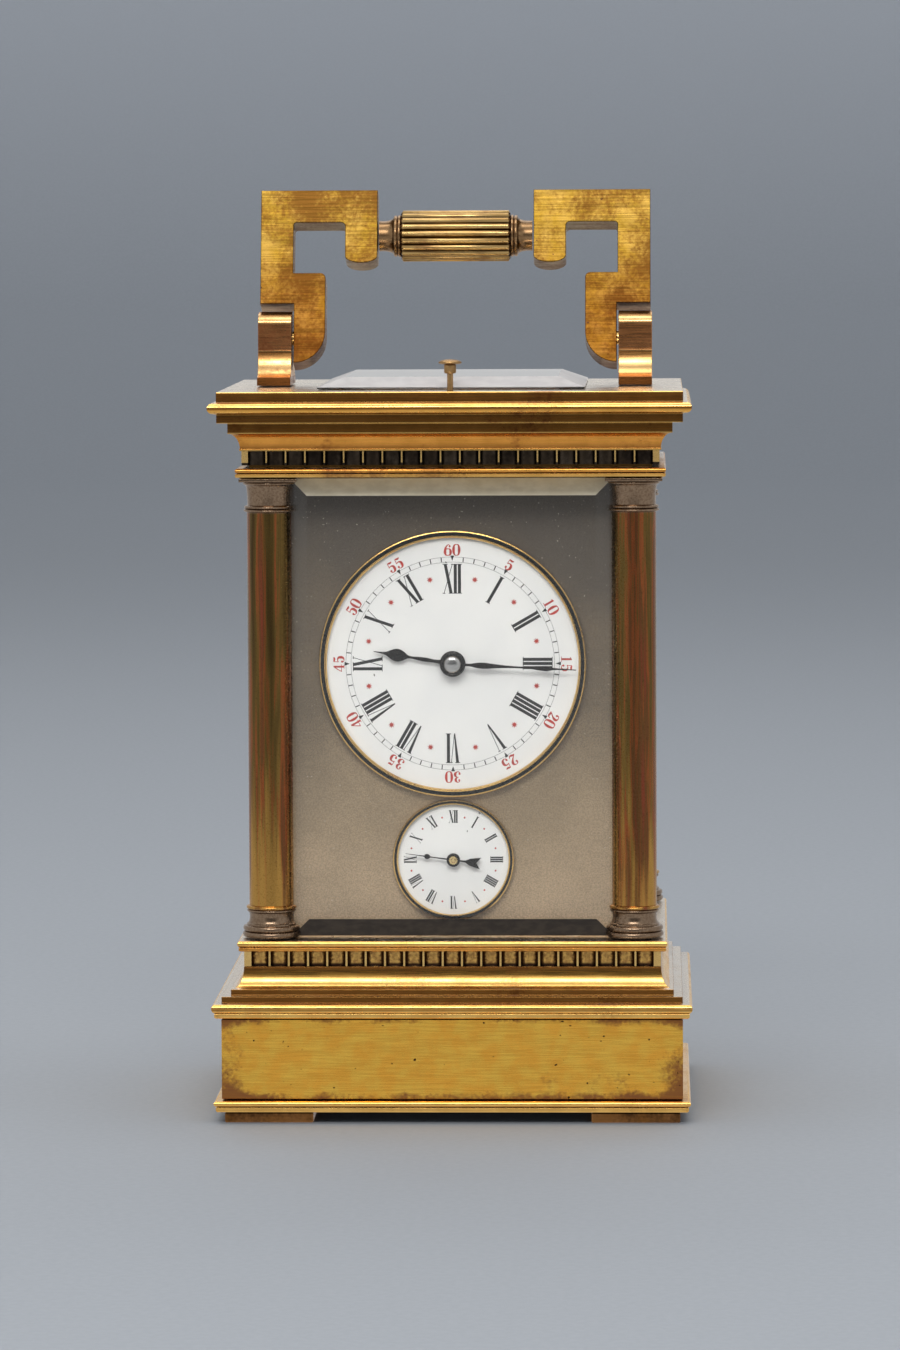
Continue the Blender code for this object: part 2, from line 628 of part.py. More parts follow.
def hands():
    lance = [(2.6, 0.55), (4.6, 0.42), (7.2, 1.0), (11.0, 0.42), (15.5, 0.40), (19.8, 0.85), (23.0, 0.3)]
    lance += [(26.6, 0.0)]
    hand("minute_hand", lance, 2.6, 1.25, -2.8, 28.6, 29.0, MAIN_HEIGHT)
    pear = [(2.9, 0.6), (6.5, 0.55), (8.6, 0.75), (10.2, 1.3), (11.8, 1.55), (13.2, 1.05), (14.2, 0.4)]
    pear += [(17.2, 0.0)]
    hand("hour_hand", pear, 2.8, 1.85, 180.0 - 9.1, 27.7, 28.1, MAIN_HEIGHT)
    pointer = [(1.4, 0.22), (5.0, 0.20), (5.4, 0.55), (6.1, 0.55), (6.6, 0.20), (10.4, 0.0)]
    swallow = [(1.4, 0.25), (3.0, 0.45), (5.9, 1.35), (4.7, 0.0)]
    at = (180.0 - 7.6, 27.8, 28.2, ALARM_HEIGHT)
    hand("alarm_hand", pointer, 1.47, 0.75, *at, tail=swallow)
    dome = [(0.65, 29.3), (1.9, 29.3), (1.9, 29.6)] + quarter((1.9, 29.6), (0.65, 30.3), upright=True)
    turned("hand_collet", dome, STEEL, ring=True, place=(0, 0, MAIN_HEIGHT), turn=FACING)


# The movement.


def plate_outline():
    return [
        (-PLATE_HALF, PLATE_LOW),
        (PLATE_HALF, PLATE_LOW),
        (PLATE_HALF, PLATE_TOP),
        (-PLATE_HALF, PLATE_TOP),
    ]


def arbor_holes(small):
    barrels = [circle(BARREL_ARBOR + 0.4, 12, centre=at) for at in (GOING_BARREL, STRIKE_BARREL)]
    return barrels + [circle(ARBOR_HOLE, 10, centre=at) for at in small]


def plates(third, strike, fly, minute):
    both = [CENTRE, third, CONTRATE, strike, fly, HAMMER]
    alarm = (0, ALARM_HEIGHT)
    outlines = [plate_outline(), *arbor_holes([*both, minute, alarm])]
    front = flat_piece("front_plate", outlines, PLATE_INNER, PLATE_OUTER, PLATE_BRASS, turn=FACING)
    for i, x in enumerate((-26, 26)):
        for j, height in enumerate((46, 112)):
            placing = {"place": (x, 0, height), "turn": FACING, "tool": True}
            ends = (GAP - PLATE_INNER, PLATE_INNER + 0.7)
            join(front, cylinder(f"pillar_{i}{j}", 2.2, *ends, PLATE_BRASS, 12, **placing))
    outlines = [plate_outline(), *arbor_holes(both)]
    flat_piece("back_plate", outlines, -PLATE_OUTER, -PLATE_INNER, PLATE_BRASS, turn=FACING)


def barrel(name, centre, to_pinion, rim_low):
    """A spring barrel, its toothed rim starting at a given distance to the front."""
    rim = (BARREL_TEETH, BARREL_MODULE, to_pinion, rim_low, rim_low + 1.5, 0)
    drum = (BARREL_RADIUS, -0.5, 15.2, 24)
    return geared_arbor(name, centre, [rim], [drum], bore=(BARREL_BORE, -2, 17))


def going_train(third):
    """Barrel, centre, third and contrate wheels. In each meshing pair a tooth faces a gap."""
    to_centre = bearing_of(GOING_BARREL, CENTRE)
    barrel("going_barrel", GOING_BARREL, to_centre, 14.0)

    to_third = bearing_of(CENTRE, third)
    pinion = (LEAVES, BARREL_MODULE, gap_bearing(LEAVES, to_centre + 180), 13.3, 16.2, 0)
    wheel = (TRAIN_TEETH, TRAIN_MODULE, to_third, -7.2, -6.0, 4)
    shaft = (ARBOR_RADIUS, -ARBOR_REACH, ARBOR_REACH, 8)
    nose, square = (0.4, 16.0, 30.0, 8), (0.55, -25.8, -18.0, 4)
    geared_arbor("centre_wheel", CENTRE, [wheel, pinion], [shaft, nose, square])

    to_contrate = bearing_of(third, CONTRATE)
    pinion = (LEAVES, TRAIN_MODULE, gap_bearing(LEAVES, to_third + 180), -8.5, -5.0, 0)
    wheel = (TRAIN_TEETH, TRAIN_MODULE, to_contrate, -11.2, -10.0, 4)
    geared_arbor("third_wheel", third, [wheel, pinion], [shaft])

    pinion = (LEAVES, TRAIN_MODULE, gap_bearing(LEAVES, to_contrate + 180), -12.5, -9.0, 0)
    contrate = geared_arbor("contrate_wheel", CONTRATE, [pinion], [shaft, (7.6, -4.0, -3.0, 36)])
    corners = ((CROWN_RADIUS - 0.7, -0.2), (7.55, -0.14), (7.55, 0.14), (CROWN_RADIUS - 0.7, 0.2))
    crown = toothed_outline(CROWN_TEETH, corners, 90.0)
    placing = {"place": (CONTRATE[0], 0, CONTRATE[1]), "turn": FACING, "tool": True}
    join(contrate, flat_piece("crown_teeth", [crown], -3.2, -1.7, PLATE_BRASS, **placing))


def winding_arbors():
    for name, centre in (("going_winding_arbor", GOING_BARREL), ("strike_winding_arbor", STRIKE_BARREL)):
        body, square = (BARREL_ARBOR, -20.0, ARBOR_REACH, 16), (1.45, -26.0, -19.0, 4)
        geared_arbor(name, centre, [], [body, square], STEEL)


def escapement():
    """The platform's pieces stand upright, so they are placed in plan."""
    module = 2 * CROWN_RADIUS / CROWN_TEETH
    placing = {"place": (CONTRATE[0], -ESCAPE_FRONT, 0)}
    leaves = spur_outline(ESCAPE_LEAVES, module, gap_bearing(ESCAPE_LEAVES, 90.0))
    escape = flat_piece("escape_wheel", [leaves], 114.6, 117.4, STEEL, **placing)
    teeth = toothed_outline(15, ((3.0, -0.1), (4.0, 0.25), (3.9, 0.35), (3.0, 0.3)), 0.0)
    rim = flat_piece("escape_teeth", [teeth], 121.4, 122.0, STEEL, tool=True, **placing)
    join(escape, rim, cylinder("escape_arbor", 0.45, 114.3, 122.4, STEEL, 10, tool=True, **placing))

    placing = {"place": (PALLET_X, -ESCAPE_FRONT, 0)}
    outline = [(-4.2, 0.5), (-4.2, 0.9), (-3.4, 0.5), (-0.8, 0.6), (-0.4, 2.6), (3.0, 3.6), (3.4, 2.9)]
    outline += [(0.8, 1.8), (0.9, 0.0)]
    outline += [(x, -y) for x, y in reversed(outline[:-1])]
    lever = flat_piece("pallet_lever", [outline], 122.8, 123.3, STEEL, **placing)
    join(lever, cylinder("pallet_arbor", 0.45, 120.6, 123.8, STEEL, 10, tool=True, **placing))

    placing = {"place": (BALANCE_X, -ESCAPE_FRONT, 0)}
    rim = [circle(7.4, 40), *windows(1.4, 6.4, 2, spoke=1.2)]
    balance = flat_piece("balance_wheel", rim, 124.6, 125.5, PLATE_BRASS, **placing)
    join(balance, cylinder("balance_staff", 0.45, 120.6, 127.2, STEEL, 10, tool=True, **placing))

    corners = ((-20, -PLATE_OUTER), (20, -PLATE_OUTER), (20, PLATE_OUTER), (-20, PLATE_OUTER))
    hole = circle(0.9, 12, centre=(CONTRATE[0], -ESCAPE_FRONT))
    flat_piece("platform", [list(corners), hole], PLATFORM_LOW, PLATFORM_TOP, PLATE_BRASS)

    foot_low, foot_high = (-9.4, 10.0, PLATFORM_TOP + GAP), (-2.4, 15.5, 128.0)
    cock = block("balance_cock", foot_low, foot_high, PLATE_BRASS)
    arm = [(-8.9, 15.0), (-8.3, 0.9), (-7.6, -0.8), (-5.9, -1.5), (-4.2, -0.8), (-3.5, 0.9), (-2.9, 15.0)]
    join(cock, flat_piece("cock_arm", [arm], 127.5, 129.0, PLATE_BRASS, tool=True))


def motion_work(minute):
    to_minute = bearing_of(CENTRE, minute)
    cannon = (CANNON_LEAVES, MOTION_MODULE, gap_bearing(CANNON_LEAVES, to_minute), 20.6, 22.4, 0)
    pipe, bore = (1.0, 19.4, 29.1, 14), (0.65, 19.0, 30.0)
    geared_arbor("cannon_pinion", CENTRE, [cannon], [pipe], STEEL, bore)

    wheel = (MINUTE_TEETH, MOTION_MODULE, to_minute + 180, 21.0, 22.0, 4)
    pinion = (MINUTE_LEAVES, MOTION_MODULE, gap_bearing(MINUTE_LEAVES, to_minute + 180), 21.5, 24.8, 0)
    shaft = (ARBOR_RADIUS, 17.3, 22.0, 10)
    geared_arbor("minute_wheel", minute, [wheel, pinion], [shaft])

    wheel = (HOUR_TEETH, MOTION_MODULE, to_minute, 23.4, 24.4, 0)
    pipe, bore = (1.6, 23.6, 28.3, 16), (1.25, 23.0, 29.0)
    geared_arbor("hour_wheel", CENTRE, [wheel], [pipe], bore=bore)

    profile = [(0, 16.0), (0.5, 16.0), (0.5, 20.4), (4.0, 20.4), (4.0, 21.6), (0.5, 21.6), (0.5, 28.4)]
    profile += [(1.0, 28.5), (0.9, 28.9), (0, 29.1)]
    turned("alarm_arbor", profile, PLATE_BRASS, steps=14, place=(0, 0, ALARM_HEIGHT), turn=FACING)


def strike_train(strike, fly):
    to_strike = bearing_of(STRIKE_BARREL, strike)
    barrel("strike_barrel", STRIKE_BARREL, to_strike, -0.8)

    to_fly = bearing_of(strike, fly)
    pinion = (LEAVES, BARREL_MODULE, gap_bearing(LEAVES, to_strike + 180), -1.6, 1.5, 0)
    wheel = (TRAIN_TEETH, TRAIN_MODULE, to_fly, -7.2, -6.0, 4)
    shaft = (ARBOR_RADIUS, -ARBOR_REACH, ARBOR_REACH, 8)
    geared_arbor("strike_wheel", strike, [wheel, pinion], [shaft])

    pinion = (LEAVES, TRAIN_MODULE, gap_bearing(LEAVES, to_fly + 180), -8.5, -5.0, 0)
    wheel = geared_arbor("fly", fly, [pinion], [shaft], STEEL)
    placing = {"place": (fly[0], 0, fly[1]), "turn": FACING, "tool": True}
    join(wheel, block("fly_wings", (-4.5, -0.25, -16.0), (4.5, 0.25, -10.0), STEEL, **placing))


def hammer():
    placing = {"place": (HAMMER[0], 0, HAMMER[1]), "turn": FACING}
    arm = [(2.0, -0.8), (2.0, 0.8), (-18.5, 2.6), (-18.5, 1.2)]
    swing = flat_piece("hammer", [arm], -22.2, -21.2, STEEL, **placing)
    shaft = cylinder("hammer_arbor", ARBOR_RADIUS, -22.0, ARBOR_REACH, STEEL, 10, tool=True, **placing)
    head = block("hammer_head", (-22.0, 0.2, -25.2), (-18.0, 4.2, -21.4), STEEL, tool=True, **placing)
    join(swing, head, shaft)


def gong():
    """A flat coil whose outer end is held in a stud on the back plate."""
    steps = 10 * GONG_TURNS
    curve = bpy.data.curves.new("gong", "CURVE")
    curve.dimensions = "3D"
    curve.bevel_depth = GONG_WIRE * MM
    curve.bevel_resolution = 2
    curve.use_fill_caps = True
    spline = curve.splines.new("POLY")
    spline.points.add(steps)
    for i, point in enumerate(spline.points):
        radius = GONG_OUTER + (GONG_INNER - GONG_OUTER) * i / steps
        x, height = polar((0, 0), radius, GONG_BEARING + 360.0 * GONG_TURNS * i / steps)
        point.co = (x * MM, height * MM, GONG_FRONT * MM, 1)
    placing = {"place": (GONG_CENTRE[0], 0, GONG_CENTRE[1]), "turn": FACING}
    coil = mesh_of_curve("gong", curve, BLUED, **placing)
    x, height = polar(GONG_CENTRE, GONG_OUTER + 1.7, GONG_BEARING)
    stud = {"place": (x, 0, height), "turn": FACING, "tool": True}
    join(coil, cylinder("gong_stud", 2.3, -25.4, -PLATE_OUTER - GAP, BLUED, 14, **stud))


# The back door.


def back_door():
    hinge = pivot("back_door_hinge", (DOOR_AXIS_X, COLUMN_Y, 0))
    middle, half_height = 0.5 * (DOOR_LOW + DOOR_TOP), 0.5 * (DOOR_TOP - DOOR_LOW)
    placing = {"place": (-DOOR_AXIS_X, -0.5 * PANE, middle), "turn": BACKWARD, "parent": hinge}
    profile = [(DOOR_HALF, 0), (DOOR_HALF, PANE - 0.4), (DOOR_HALF - 0.4, PANE)]
    frame = moulded_block("back_door_frame", profile, GILT, change=half_height - DOOR_HALF, **placing)
    half_x, half_y = DOOR_HALF - DOOR_BORDER, half_height - DOOR_BORDER
    low, high = (-half_x, -half_y, -1), (half_x, half_y, PANE + 1)
    cut(frame, block("door_light", low, high, tool=True, **placing))
    size = (half_x - GAP, half_y - GAP, PANE - 0.4, PANE_BEVEL)
    pane("back_door_glass", *size, **placing)
    knob = [(0, PANE + GAP), (1.1, PANE + GAP), (0.9, 4.6), (2.0, 5.6), (2.5, 6.8), (2.2, 8.0), (0, 8.5)]
    placing["place"] = (DOOR_HALF - 0.5 * DOOR_BORDER - DOOR_AXIS_X, -0.5 * PANE, middle)
    turned("back_door_knob", knob, GILT, **placing)


def build():
    third = third_centre(CENTRE, TRAIN_DISTANCE, CONTRATE, TRAIN_DISTANCE)
    minute = polar(CENTRE, MOTION_DISTANCE, MINUTE_BEARING)
    strike = polar(STRIKE_BARREL, BARREL_DISTANCE, STRIKE_BEARING)
    fly = polar(strike, TRAIN_DISTANCE, FLY_BEARING)
    feet()
    plinth_skirt()
    plinth_body()
    base_moulding()
    columns()
    entablature()
    panes()
    handle_posts()
    handle_screws()
    handle()
    repeat_work()
    dial_mask()
    dial("main", MAIN_DIAL_RADIUS, 1.9, MAIN_HEIGHT, 32)
    dial("alarm", ALARM_DIAL_RADIUS, 0.9, ALARM_HEIGHT, 24)
    bezel("main", 27.1, 28.8, 1.2, MAIN_HEIGHT, 32)
    bezel("alarm", 11.9, 13.1, 0.9, ALARM_HEIGHT, 24)
    hands()
    plates(third, strike, fly, minute)
    going_train(third)
    winding_arbors()
    escapement()
    motion_work(minute)
    strike_train(strike, fly)
    hammer()
    gong()
    back_door()


build()
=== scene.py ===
"""Looks of the carriage clock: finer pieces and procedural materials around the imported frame.

Lengths are in millimetres in the row frame and become metres where a mesh is made. "Front" counts
towards -Y, where the dials are.
"""

import json
import math

import bmesh
import bpy
from mathutils import Euler, Matrix, Vector

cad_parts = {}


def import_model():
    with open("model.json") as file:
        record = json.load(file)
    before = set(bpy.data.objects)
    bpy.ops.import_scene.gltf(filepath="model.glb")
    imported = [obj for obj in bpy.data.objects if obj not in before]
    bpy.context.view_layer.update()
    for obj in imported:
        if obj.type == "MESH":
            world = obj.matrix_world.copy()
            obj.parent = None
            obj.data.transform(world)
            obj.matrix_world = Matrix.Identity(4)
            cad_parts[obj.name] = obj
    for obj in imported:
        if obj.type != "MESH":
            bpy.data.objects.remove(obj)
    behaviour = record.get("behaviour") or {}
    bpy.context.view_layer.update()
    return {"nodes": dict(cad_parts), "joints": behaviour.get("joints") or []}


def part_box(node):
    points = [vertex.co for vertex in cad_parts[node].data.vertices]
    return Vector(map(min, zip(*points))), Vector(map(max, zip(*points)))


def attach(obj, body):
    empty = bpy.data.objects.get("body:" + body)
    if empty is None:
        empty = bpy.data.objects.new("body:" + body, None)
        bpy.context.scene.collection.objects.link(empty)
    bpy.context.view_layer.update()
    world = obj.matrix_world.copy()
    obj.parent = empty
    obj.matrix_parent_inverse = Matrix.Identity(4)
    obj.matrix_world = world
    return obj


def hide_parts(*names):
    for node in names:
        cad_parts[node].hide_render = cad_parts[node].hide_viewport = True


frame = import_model()
MM = 0.001
CORNERS = ((-1, -1), (1, -1), (1, 1), (-1, 1))
DEPTH_CHANGE = -6.25  # Half depth minus half width of the case's mouldings.
FRONT_PITCH, SIDE_PITCH = 4.13, 4.1
FRONT_FLUTES, SIDE_FLUTES = 21, 18


def box_mm(node):
    low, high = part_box(node)
    return [v / MM for v in low], [v / MM for v in high]


def middle(node, axis):
    low, high = box_mm(node)
    return 0.5 * (low[axis] + high[axis])


DIAL_FRONT = -box_mm("main_dial")[0][1]
MAIN_HEIGHT, ALARM_HEIGHT = middle("main_dial", 2), middle("alarm_dial", 2)
COLUMN_X, COLUMN_Y = middle("column_front_right", 0), middle("column_back_right", 1)
joint_at = {j["name"]: [v / MM for v in j.get("pos_m", (0, 0, 0))] for j in frame["joints"]}
PIVOT_HEIGHT = joint_at["handle_swing"][2]
HANDLE_LEAN = 15.5
GRIP_RISE, GRIP_RADIUS, REED_DEPTH = 23.1, 5.62, 0.7

# Materials.


class Recipe:
    """A Principled material built node by node, on coordinates that stay with the piece."""

    def __init__(self, name, metallic=1.0, **fixed):
        self.material = bpy.data.materials.new(name)
        self.material.use_nodes = True
        self.tree = self.material.node_tree
        self.shader = self.tree.nodes["Principled BSDF"]
        self.shader.inputs["Metallic"].default_value = metallic
        for socket, value in fixed.items():
            self.shader.inputs[socket.replace("_", " ")].default_value = value
        self.place = self.node("ShaderNodeTexCoord").outputs["Object"]

    def node(self, kind, inputs=None, **settings):
        made = self.tree.nodes.new(kind)
        for key, value in settings.items():
            setattr(made, key, value)
        for key, value in (inputs or {}).items():
            if isinstance(value, bpy.types.NodeSocket):
                self.tree.links.new(value, made.inputs[key])
            else:
                made.inputs[key].default_value = value
        return made

    def math(self, operation, *values):
        return self.node("ShaderNodeMath", dict(enumerate(values)), operation=operation).outputs[0]

    def axis(self, name):
        """A coordinate in millimetres."""
        split = self.node("ShaderNodeSeparateXYZ", {0: self.place})
        return self.math("MULTIPLY", split.outputs[name], 1 / MM)

    def noise(self, scale, stretch=(1, 1, 1), detail=4.0, rough=0.55, seed=0.0):
        """Noise with the given number of features per millimetre."""
        sizes = [scale * value / MM for value in stretch]
        vector = self.node("ShaderNodeVectorMath", {0: self.place, 1: sizes}, operation="MULTIPLY")
        vector = self.node("ShaderNodeVectorMath", {0: vector.outputs[0], 1: (seed, seed, seed)})
        inputs = {"Vector": vector.outputs[0], "Scale": 1.0, "Detail": detail, "Roughness": rough}
        return self.node("ShaderNodeTexNoise", inputs).outputs[0]

    def spread(self, value, low, high, to_low=0.0, to_high=1.0):
        inputs = {0: value, 1: low, 2: high, 3: to_low, 4: to_high}
        return self.node("ShaderNodeMapRange", inputs, interpolation_type="SMOOTHSTEP").outputs[0]

    def ramp(self, value, stops, easing="LINEAR"):
        made = self.node("ShaderNodeValToRGB", {0: value})
        bar = made.color_ramp
        bar.interpolation = easing
        while len(bar.elements) < len(stops):
            bar.elements.new(0.5)
        for element, (position, colour) in zip(bar.elements, stops):
            element.position = position
            element.color = (*colour, 1.0)
        return made.outputs[0]

    def blend(self, factor, first, second, how="MIX"):
        made = self.node("ShaderNodeMix", data_type="RGBA", blend_type=how)
        for index, value in ((0, factor), (6, first), (7, second)):
            if isinstance(value, bpy.types.NodeSocket):
                self.tree.links.new(value, made.inputs[index])
            else:
                made.inputs[index].default_value = (*value, 1.0) if index else value
        return made.outputs[2]

    def heights(self, stops):
        """A colour that changes with height: stops are (height in millimetres, colour)."""
        low, high = stops[0][0], stops[-1][0]
        share = self.spread_linear(self.axis("Z"), low, high)
        return self.ramp(share, [((h - low) / (high - low), c) for h, c in stops])

    def spread_linear(self, value, low, high):
        return self.node("ShaderNodeMapRange", {0: value, 1: low, 2: high}).outputs[0]

    def finish(self, colour, roughness=None, *bumps):
        """Bumps are (height value, strength, depth in millimetres)."""
        self.tree.links.new(colour, self.shader.inputs["Base Color"])
        if roughness is not None:
            self.tree.links.new(roughness, self.shader.inputs["Roughness"])
        normal = None
        for height, strength, depth in bumps:
            inputs = {"Height": height, "Strength": strength, "Distance": depth * MM}
            if normal is not None:
                inputs["Normal"] = normal
            normal = self.node("ShaderNodeBump", inputs).outputs[0]
        if normal is not None:
            self.tree.links.new(normal, self.shader.inputs["Normal"])
        return self.material


def brass(
    name, clean, stained, cover=0.6, rough=0.28, brush=(0.05, 0.05, 1.4), zones=None, edges=None,
    spots=0.0, bump=0.25, top=None, under=None,
):
    """Old brass: clean metal under stains, faint brush marks, dark spots and worn patches.

    Zones tint it by height, and on the mouldings they carry painted highlight lines, dark painted
    reflection bands across the beads and darker recessed faces. Edges are (half x, half y, low, high)
    of a block whose rims are stained. Top is a painted reflection of the bright space above, laid on
    faces that look up, and under is painted shade on faces that look down at the floor.
    """
    r = Recipe(name)
    clouds = r.noise(0.07, detail=5.0, rough=0.6, seed=3.1)
    grain = r.noise(1.3, detail=4.0, rough=0.65, seed=7.7)
    marks = r.noise(2.4, brush, detail=3.0, rough=0.6)
    mixed = r.math("ADD", r.math("MULTIPLY", clouds, 0.72), r.math("MULTIPLY", grain, 0.28))
    if edges:
        half_x, half_y, low, high = edges
        across = r.math("ABSOLUTE", r.math("DIVIDE", r.axis("X"), half_x))
        along = r.math("ABSOLUTE", r.math("DIVIDE", r.axis("Y"), half_y))
        corner = r.math("MINIMUM", across, along)
        rise = r.math("SUBTRACT", r.axis("Z"), 0.5 * (low + high))
        rise = r.math("ABSOLUTE", r.math("DIVIDE", rise, 0.5 * (high - low)))
        rim = r.math("ADD", r.spread(corner, 0.84, 1.0, 0, 0.17), r.spread(rise, 0.72, 1.0, 0, 0.17))
        mixed = r.math("ADD", mixed, rim)
    stain = r.spread(mixed, cover - 0.09, cover + 0.09)
    tone = r.spread(r.noise(0.25, detail=3.0, seed=1.9), 0.3, 0.7)
    lighter = [min(1.0, c * 1.18 + 0.015) for c in clean]
    colour = r.blend(tone, clean, lighter)
    colour = r.blend(stain, colour, stained)
    colour = r.blend(r.spread(marks, 0.35, 0.7, 0, 0.22), colour, [c * 0.62 for c in clean])
    # Height tints; on the mouldings they hold painted highlight and reflection bands.
    if zones:
        colour = r.blend(1.0, colour, r.heights(zones), "MULTIPLY")
    up = r.node("ShaderNodeSeparateXYZ", {0: r.node("ShaderNodeTexCoord").outputs["Normal"]}).outputs["Z"]
    # Painted reflection: faces that look up turn pale.
    if top:
        colour = r.blend(r.spread(up, 0.93, 0.985, 0, 0.85), colour, top)
    # Painted shade: faces that look down at the floor turn near black.
    if under:
        colour = r.blend(r.spread(up, -0.985, -0.93, 1, 0), colour, under)
    if spots:
        pits = r.noise(0.9, detail=1.0, rough=0.4, seed=5.3)
        pits = r.spread(pits, 0.80 - spots, 0.84 - spots)
        colour = r.blend(pits, colour, (0.06, 0.025, 0.012))
    shine = r.spread(marks, 0.3, 0.7, rough - 0.05, rough + 0.07)
    shine = r.math("ADD", shine, r.math("MULTIPLY", stain, 0.12))
    return r.finish(colour, shine, (marks, bump, 0.02), (grain, 0.12, 0.03))


def columns_metal():
    """Lacquered brass gone dark, with upright streaks of red, olive and gold that are partly painted
    reflections, and a painted reflection of the bright floor that turns the lower shaft gold.
    """
    r = Recipe("streaked_column")
    streaks = r.noise(0.42, (1, 1, 0.035), detail=4.0, rough=0.55, seed=2.4)
    fine = r.noise(1.5, (1, 1, 0.03), detail=3.0, seed=9.0)
    value = r.math("ADD", r.math("MULTIPLY", streaks, 0.75), r.math("MULTIPLY", fine, 0.25))
    stops = [
        (0.30, (0.055, 0.030, 0.013)), (0.42, (0.115, 0.072, 0.024)), (0.49, (0.17, 0.105, 0.032)),
        (0.54, (0.34, 0.095, 0.035)), (0.57, (0.16, 0.08, 0.03)), (0.66, (0.26, 0.065, 0.035)),
    ]
    shaft = r.ramp(value, stops)
    # Painted reflection of the bright floor: the shaft turns gold towards its foot.
    painted_floor_reflection = r.math("ADD", r.axis("Z"), r.spread(streaks, 0.3, 0.7, -26, 26))
    shaft = r.blend(r.spread(painted_floor_reflection, 44, 78, 0.75, 0.0), shaft, (0.62, 0.34, 0.085))
    speckle = r.noise(1.8, detail=3.0, rough=0.7, seed=4.4)
    shaft = r.blend(r.spread(speckle, 0.55, 0.75, 0, 0.45), shaft, (0.06, 0.035, 0.02))
    turned = r.blend(r.spread(speckle, 0.35, 0.65), (0.30, 0.21, 0.14), (0.22, 0.145, 0.095))
    ends = r.math("ADD", r.spread(r.axis("Z"), 44.9, 45.6, 1, 0), r.spread(r.axis("Z"), 130.2, 130.8))
    colour = r.blend(ends, shaft, turned)
    shine = r.spread(speckle, 0.35, 0.7, 0.20, 0.34)
    return r.finish(colour, shine, (fine, 0.15, 0.02), (speckle, 0.08, 0.02))


def mask_metal():
    """Frosted metal with a painted gradient of light: dull brown at the top and paler below."""
    r = Recipe("frosted_mask", metallic=0.75)
    grain = r.noise(3.2, detail=3.0, rough=0.7)
    clouds = r.noise(0.06, detail=4.0, seed=6.0)
    # Painted light: the ramp runs from pale low down to dull brown high up.
    height = r.math("ADD", r.axis("Z"), r.spread(clouds, 0.3, 0.7, -7, 7))
    share = r.spread_linear(height, 40, 137)
    stops = [
        (0.0, (0.70, 0.52, 0.34)), (0.25, (0.48, 0.36, 0.23)), (0.55, (0.23, 0.175, 0.115)),
        (0.8, (0.135, 0.110, 0.085)), (1.0, (0.115, 0.096, 0.080)),
    ]
    colour = r.ramp(share, stops)
    colour = r.blend(r.spread(grain, 0.35, 0.65, 0, 0.35), colour, (0.06, 0.05, 0.04))
    glints = r.spread(r.noise(2.2, detail=1.0, seed=8.0), 0.74, 0.78, 0, 0.5)
    colour = r.blend(glints, colour, (0.8, 0.72, 0.6))
    return r.finish(colour, r.spread(grain, 0.3, 0.7, 0.42, 0.6), (grain, 0.35, 0.03))


def enamel():
    r = Recipe("fired_enamel", metallic=0.0, Roughness=0.13, Coat_Weight=0.4, Coat_Roughness=0.03)
    clouds = r.noise(0.09, detail=3.0, seed=2.0)
    colour = r.blend(r.spread(clouds, 0.3, 0.7), (0.95, 0.945, 0.935), (0.90, 0.90, 0.90))
    specks = r.spread(r.noise(0.8, detail=0.0, seed=12.0), 0.87, 0.89, 0, 0.8)
    colour = r.blend(specks, colour, (0.1, 0.09, 0.08))
    return r.finish(colour, None, (clouds, 0.06, 0.3))


def paint(name, colour):
    r = Recipe(name, metallic=0.0, Roughness=0.3)
    uneven = r.noise(1.5, detail=3.0)
    return r.finish(r.blend(r.spread(uneven, 0.35, 0.65), colour, [c * 0.72 + 0.01 for c in colour]))


def steel(name, colour, rough, brush=(1, 1, 1)):
    r = Recipe(name)
    lines = r.noise(2.0, brush, detail=3.0)
    tint = r.noise(0.2, detail=3.0, seed=1.0)
    made = r.blend(r.spread(tint, 0.35, 0.65), colour, [c * 0.8 for c in colour])
    return r.finish(made, r.spread(lines, 0.3, 0.7, rough - 0.04, rough + 0.06), (lines, 0.1, 0.01))


def glass():
    """Clear glass that lets light through to what is behind it."""
    r = Recipe("bevelled_glass", metallic=0.0, Transmission_Weight=1.0, IOR=1.5, Roughness=0.0)
    r.shader.inputs["Base Color"].default_value = (0.985, 0.99, 0.985, 1.0)
    clear = r.node("ShaderNodeBsdfTransparent", {"Color": (0.965, 0.97, 0.965, 1.0)})
    ray = r.node("ShaderNodeLightPath").outputs["Is Shadow Ray"]
    smear = r.noise(0.05, detail=3.0)
    bump = r.node("ShaderNodeBump", {"Height": smear, "Strength": 0.02, "Distance": 0.1 * MM})
    r.tree.links.new(bump.outputs[0], r.shader.inputs["Normal"])
    mix = r.node("ShaderNodeMixShader", {0: ray, 1: r.shader.outputs[0], 2: clear.outputs[0]})
    output = next(n for n in r.tree.nodes if n.type == "OUTPUT_MATERIAL")
    r.tree.links.new(mix.outputs[0], output.inputs["Surface"])
    return r.material


def painted_bevel_light():
    """Painted light on the pane's bevel facets above and below, opaque in place of the light the glass bends:
    pale where they face the light, dark below.
    """
    r = Recipe("painted_bevel_light", metallic=0.0, Roughness=0.5, Specular_IOR_Level=0.2)
    haze = r.noise(0.3, (1, 1, 2), detail=4.0)
    pale = r.blend(r.spread(haze, 0.35, 0.65), (0.86, 0.80, 0.62), (0.76, 0.70, 0.53))
    dark = r.blend(r.spread(haze, 0.35, 0.65), (0.055, 0.045, 0.038), (0.035, 0.03, 0.027))
    return r.finish(r.blend(r.spread(r.axis("Z"), 88, 92), dark, pale))


def painted_top_bevel():
    """Painted light on the wide bevel round the top glass: opaque pale grey in place of the light the glass
    bends through it.
    """
    r = Recipe("painted_top_bevel", metallic=0.0, Roughness=0.35)
    haze = r.noise(0.25, (1, 1, 2), detail=4.0)
    return r.finish(r.blend(r.spread(haze, 0.35, 0.65), (0.60, 0.58, 0.575), (0.53, 0.51, 0.51)))


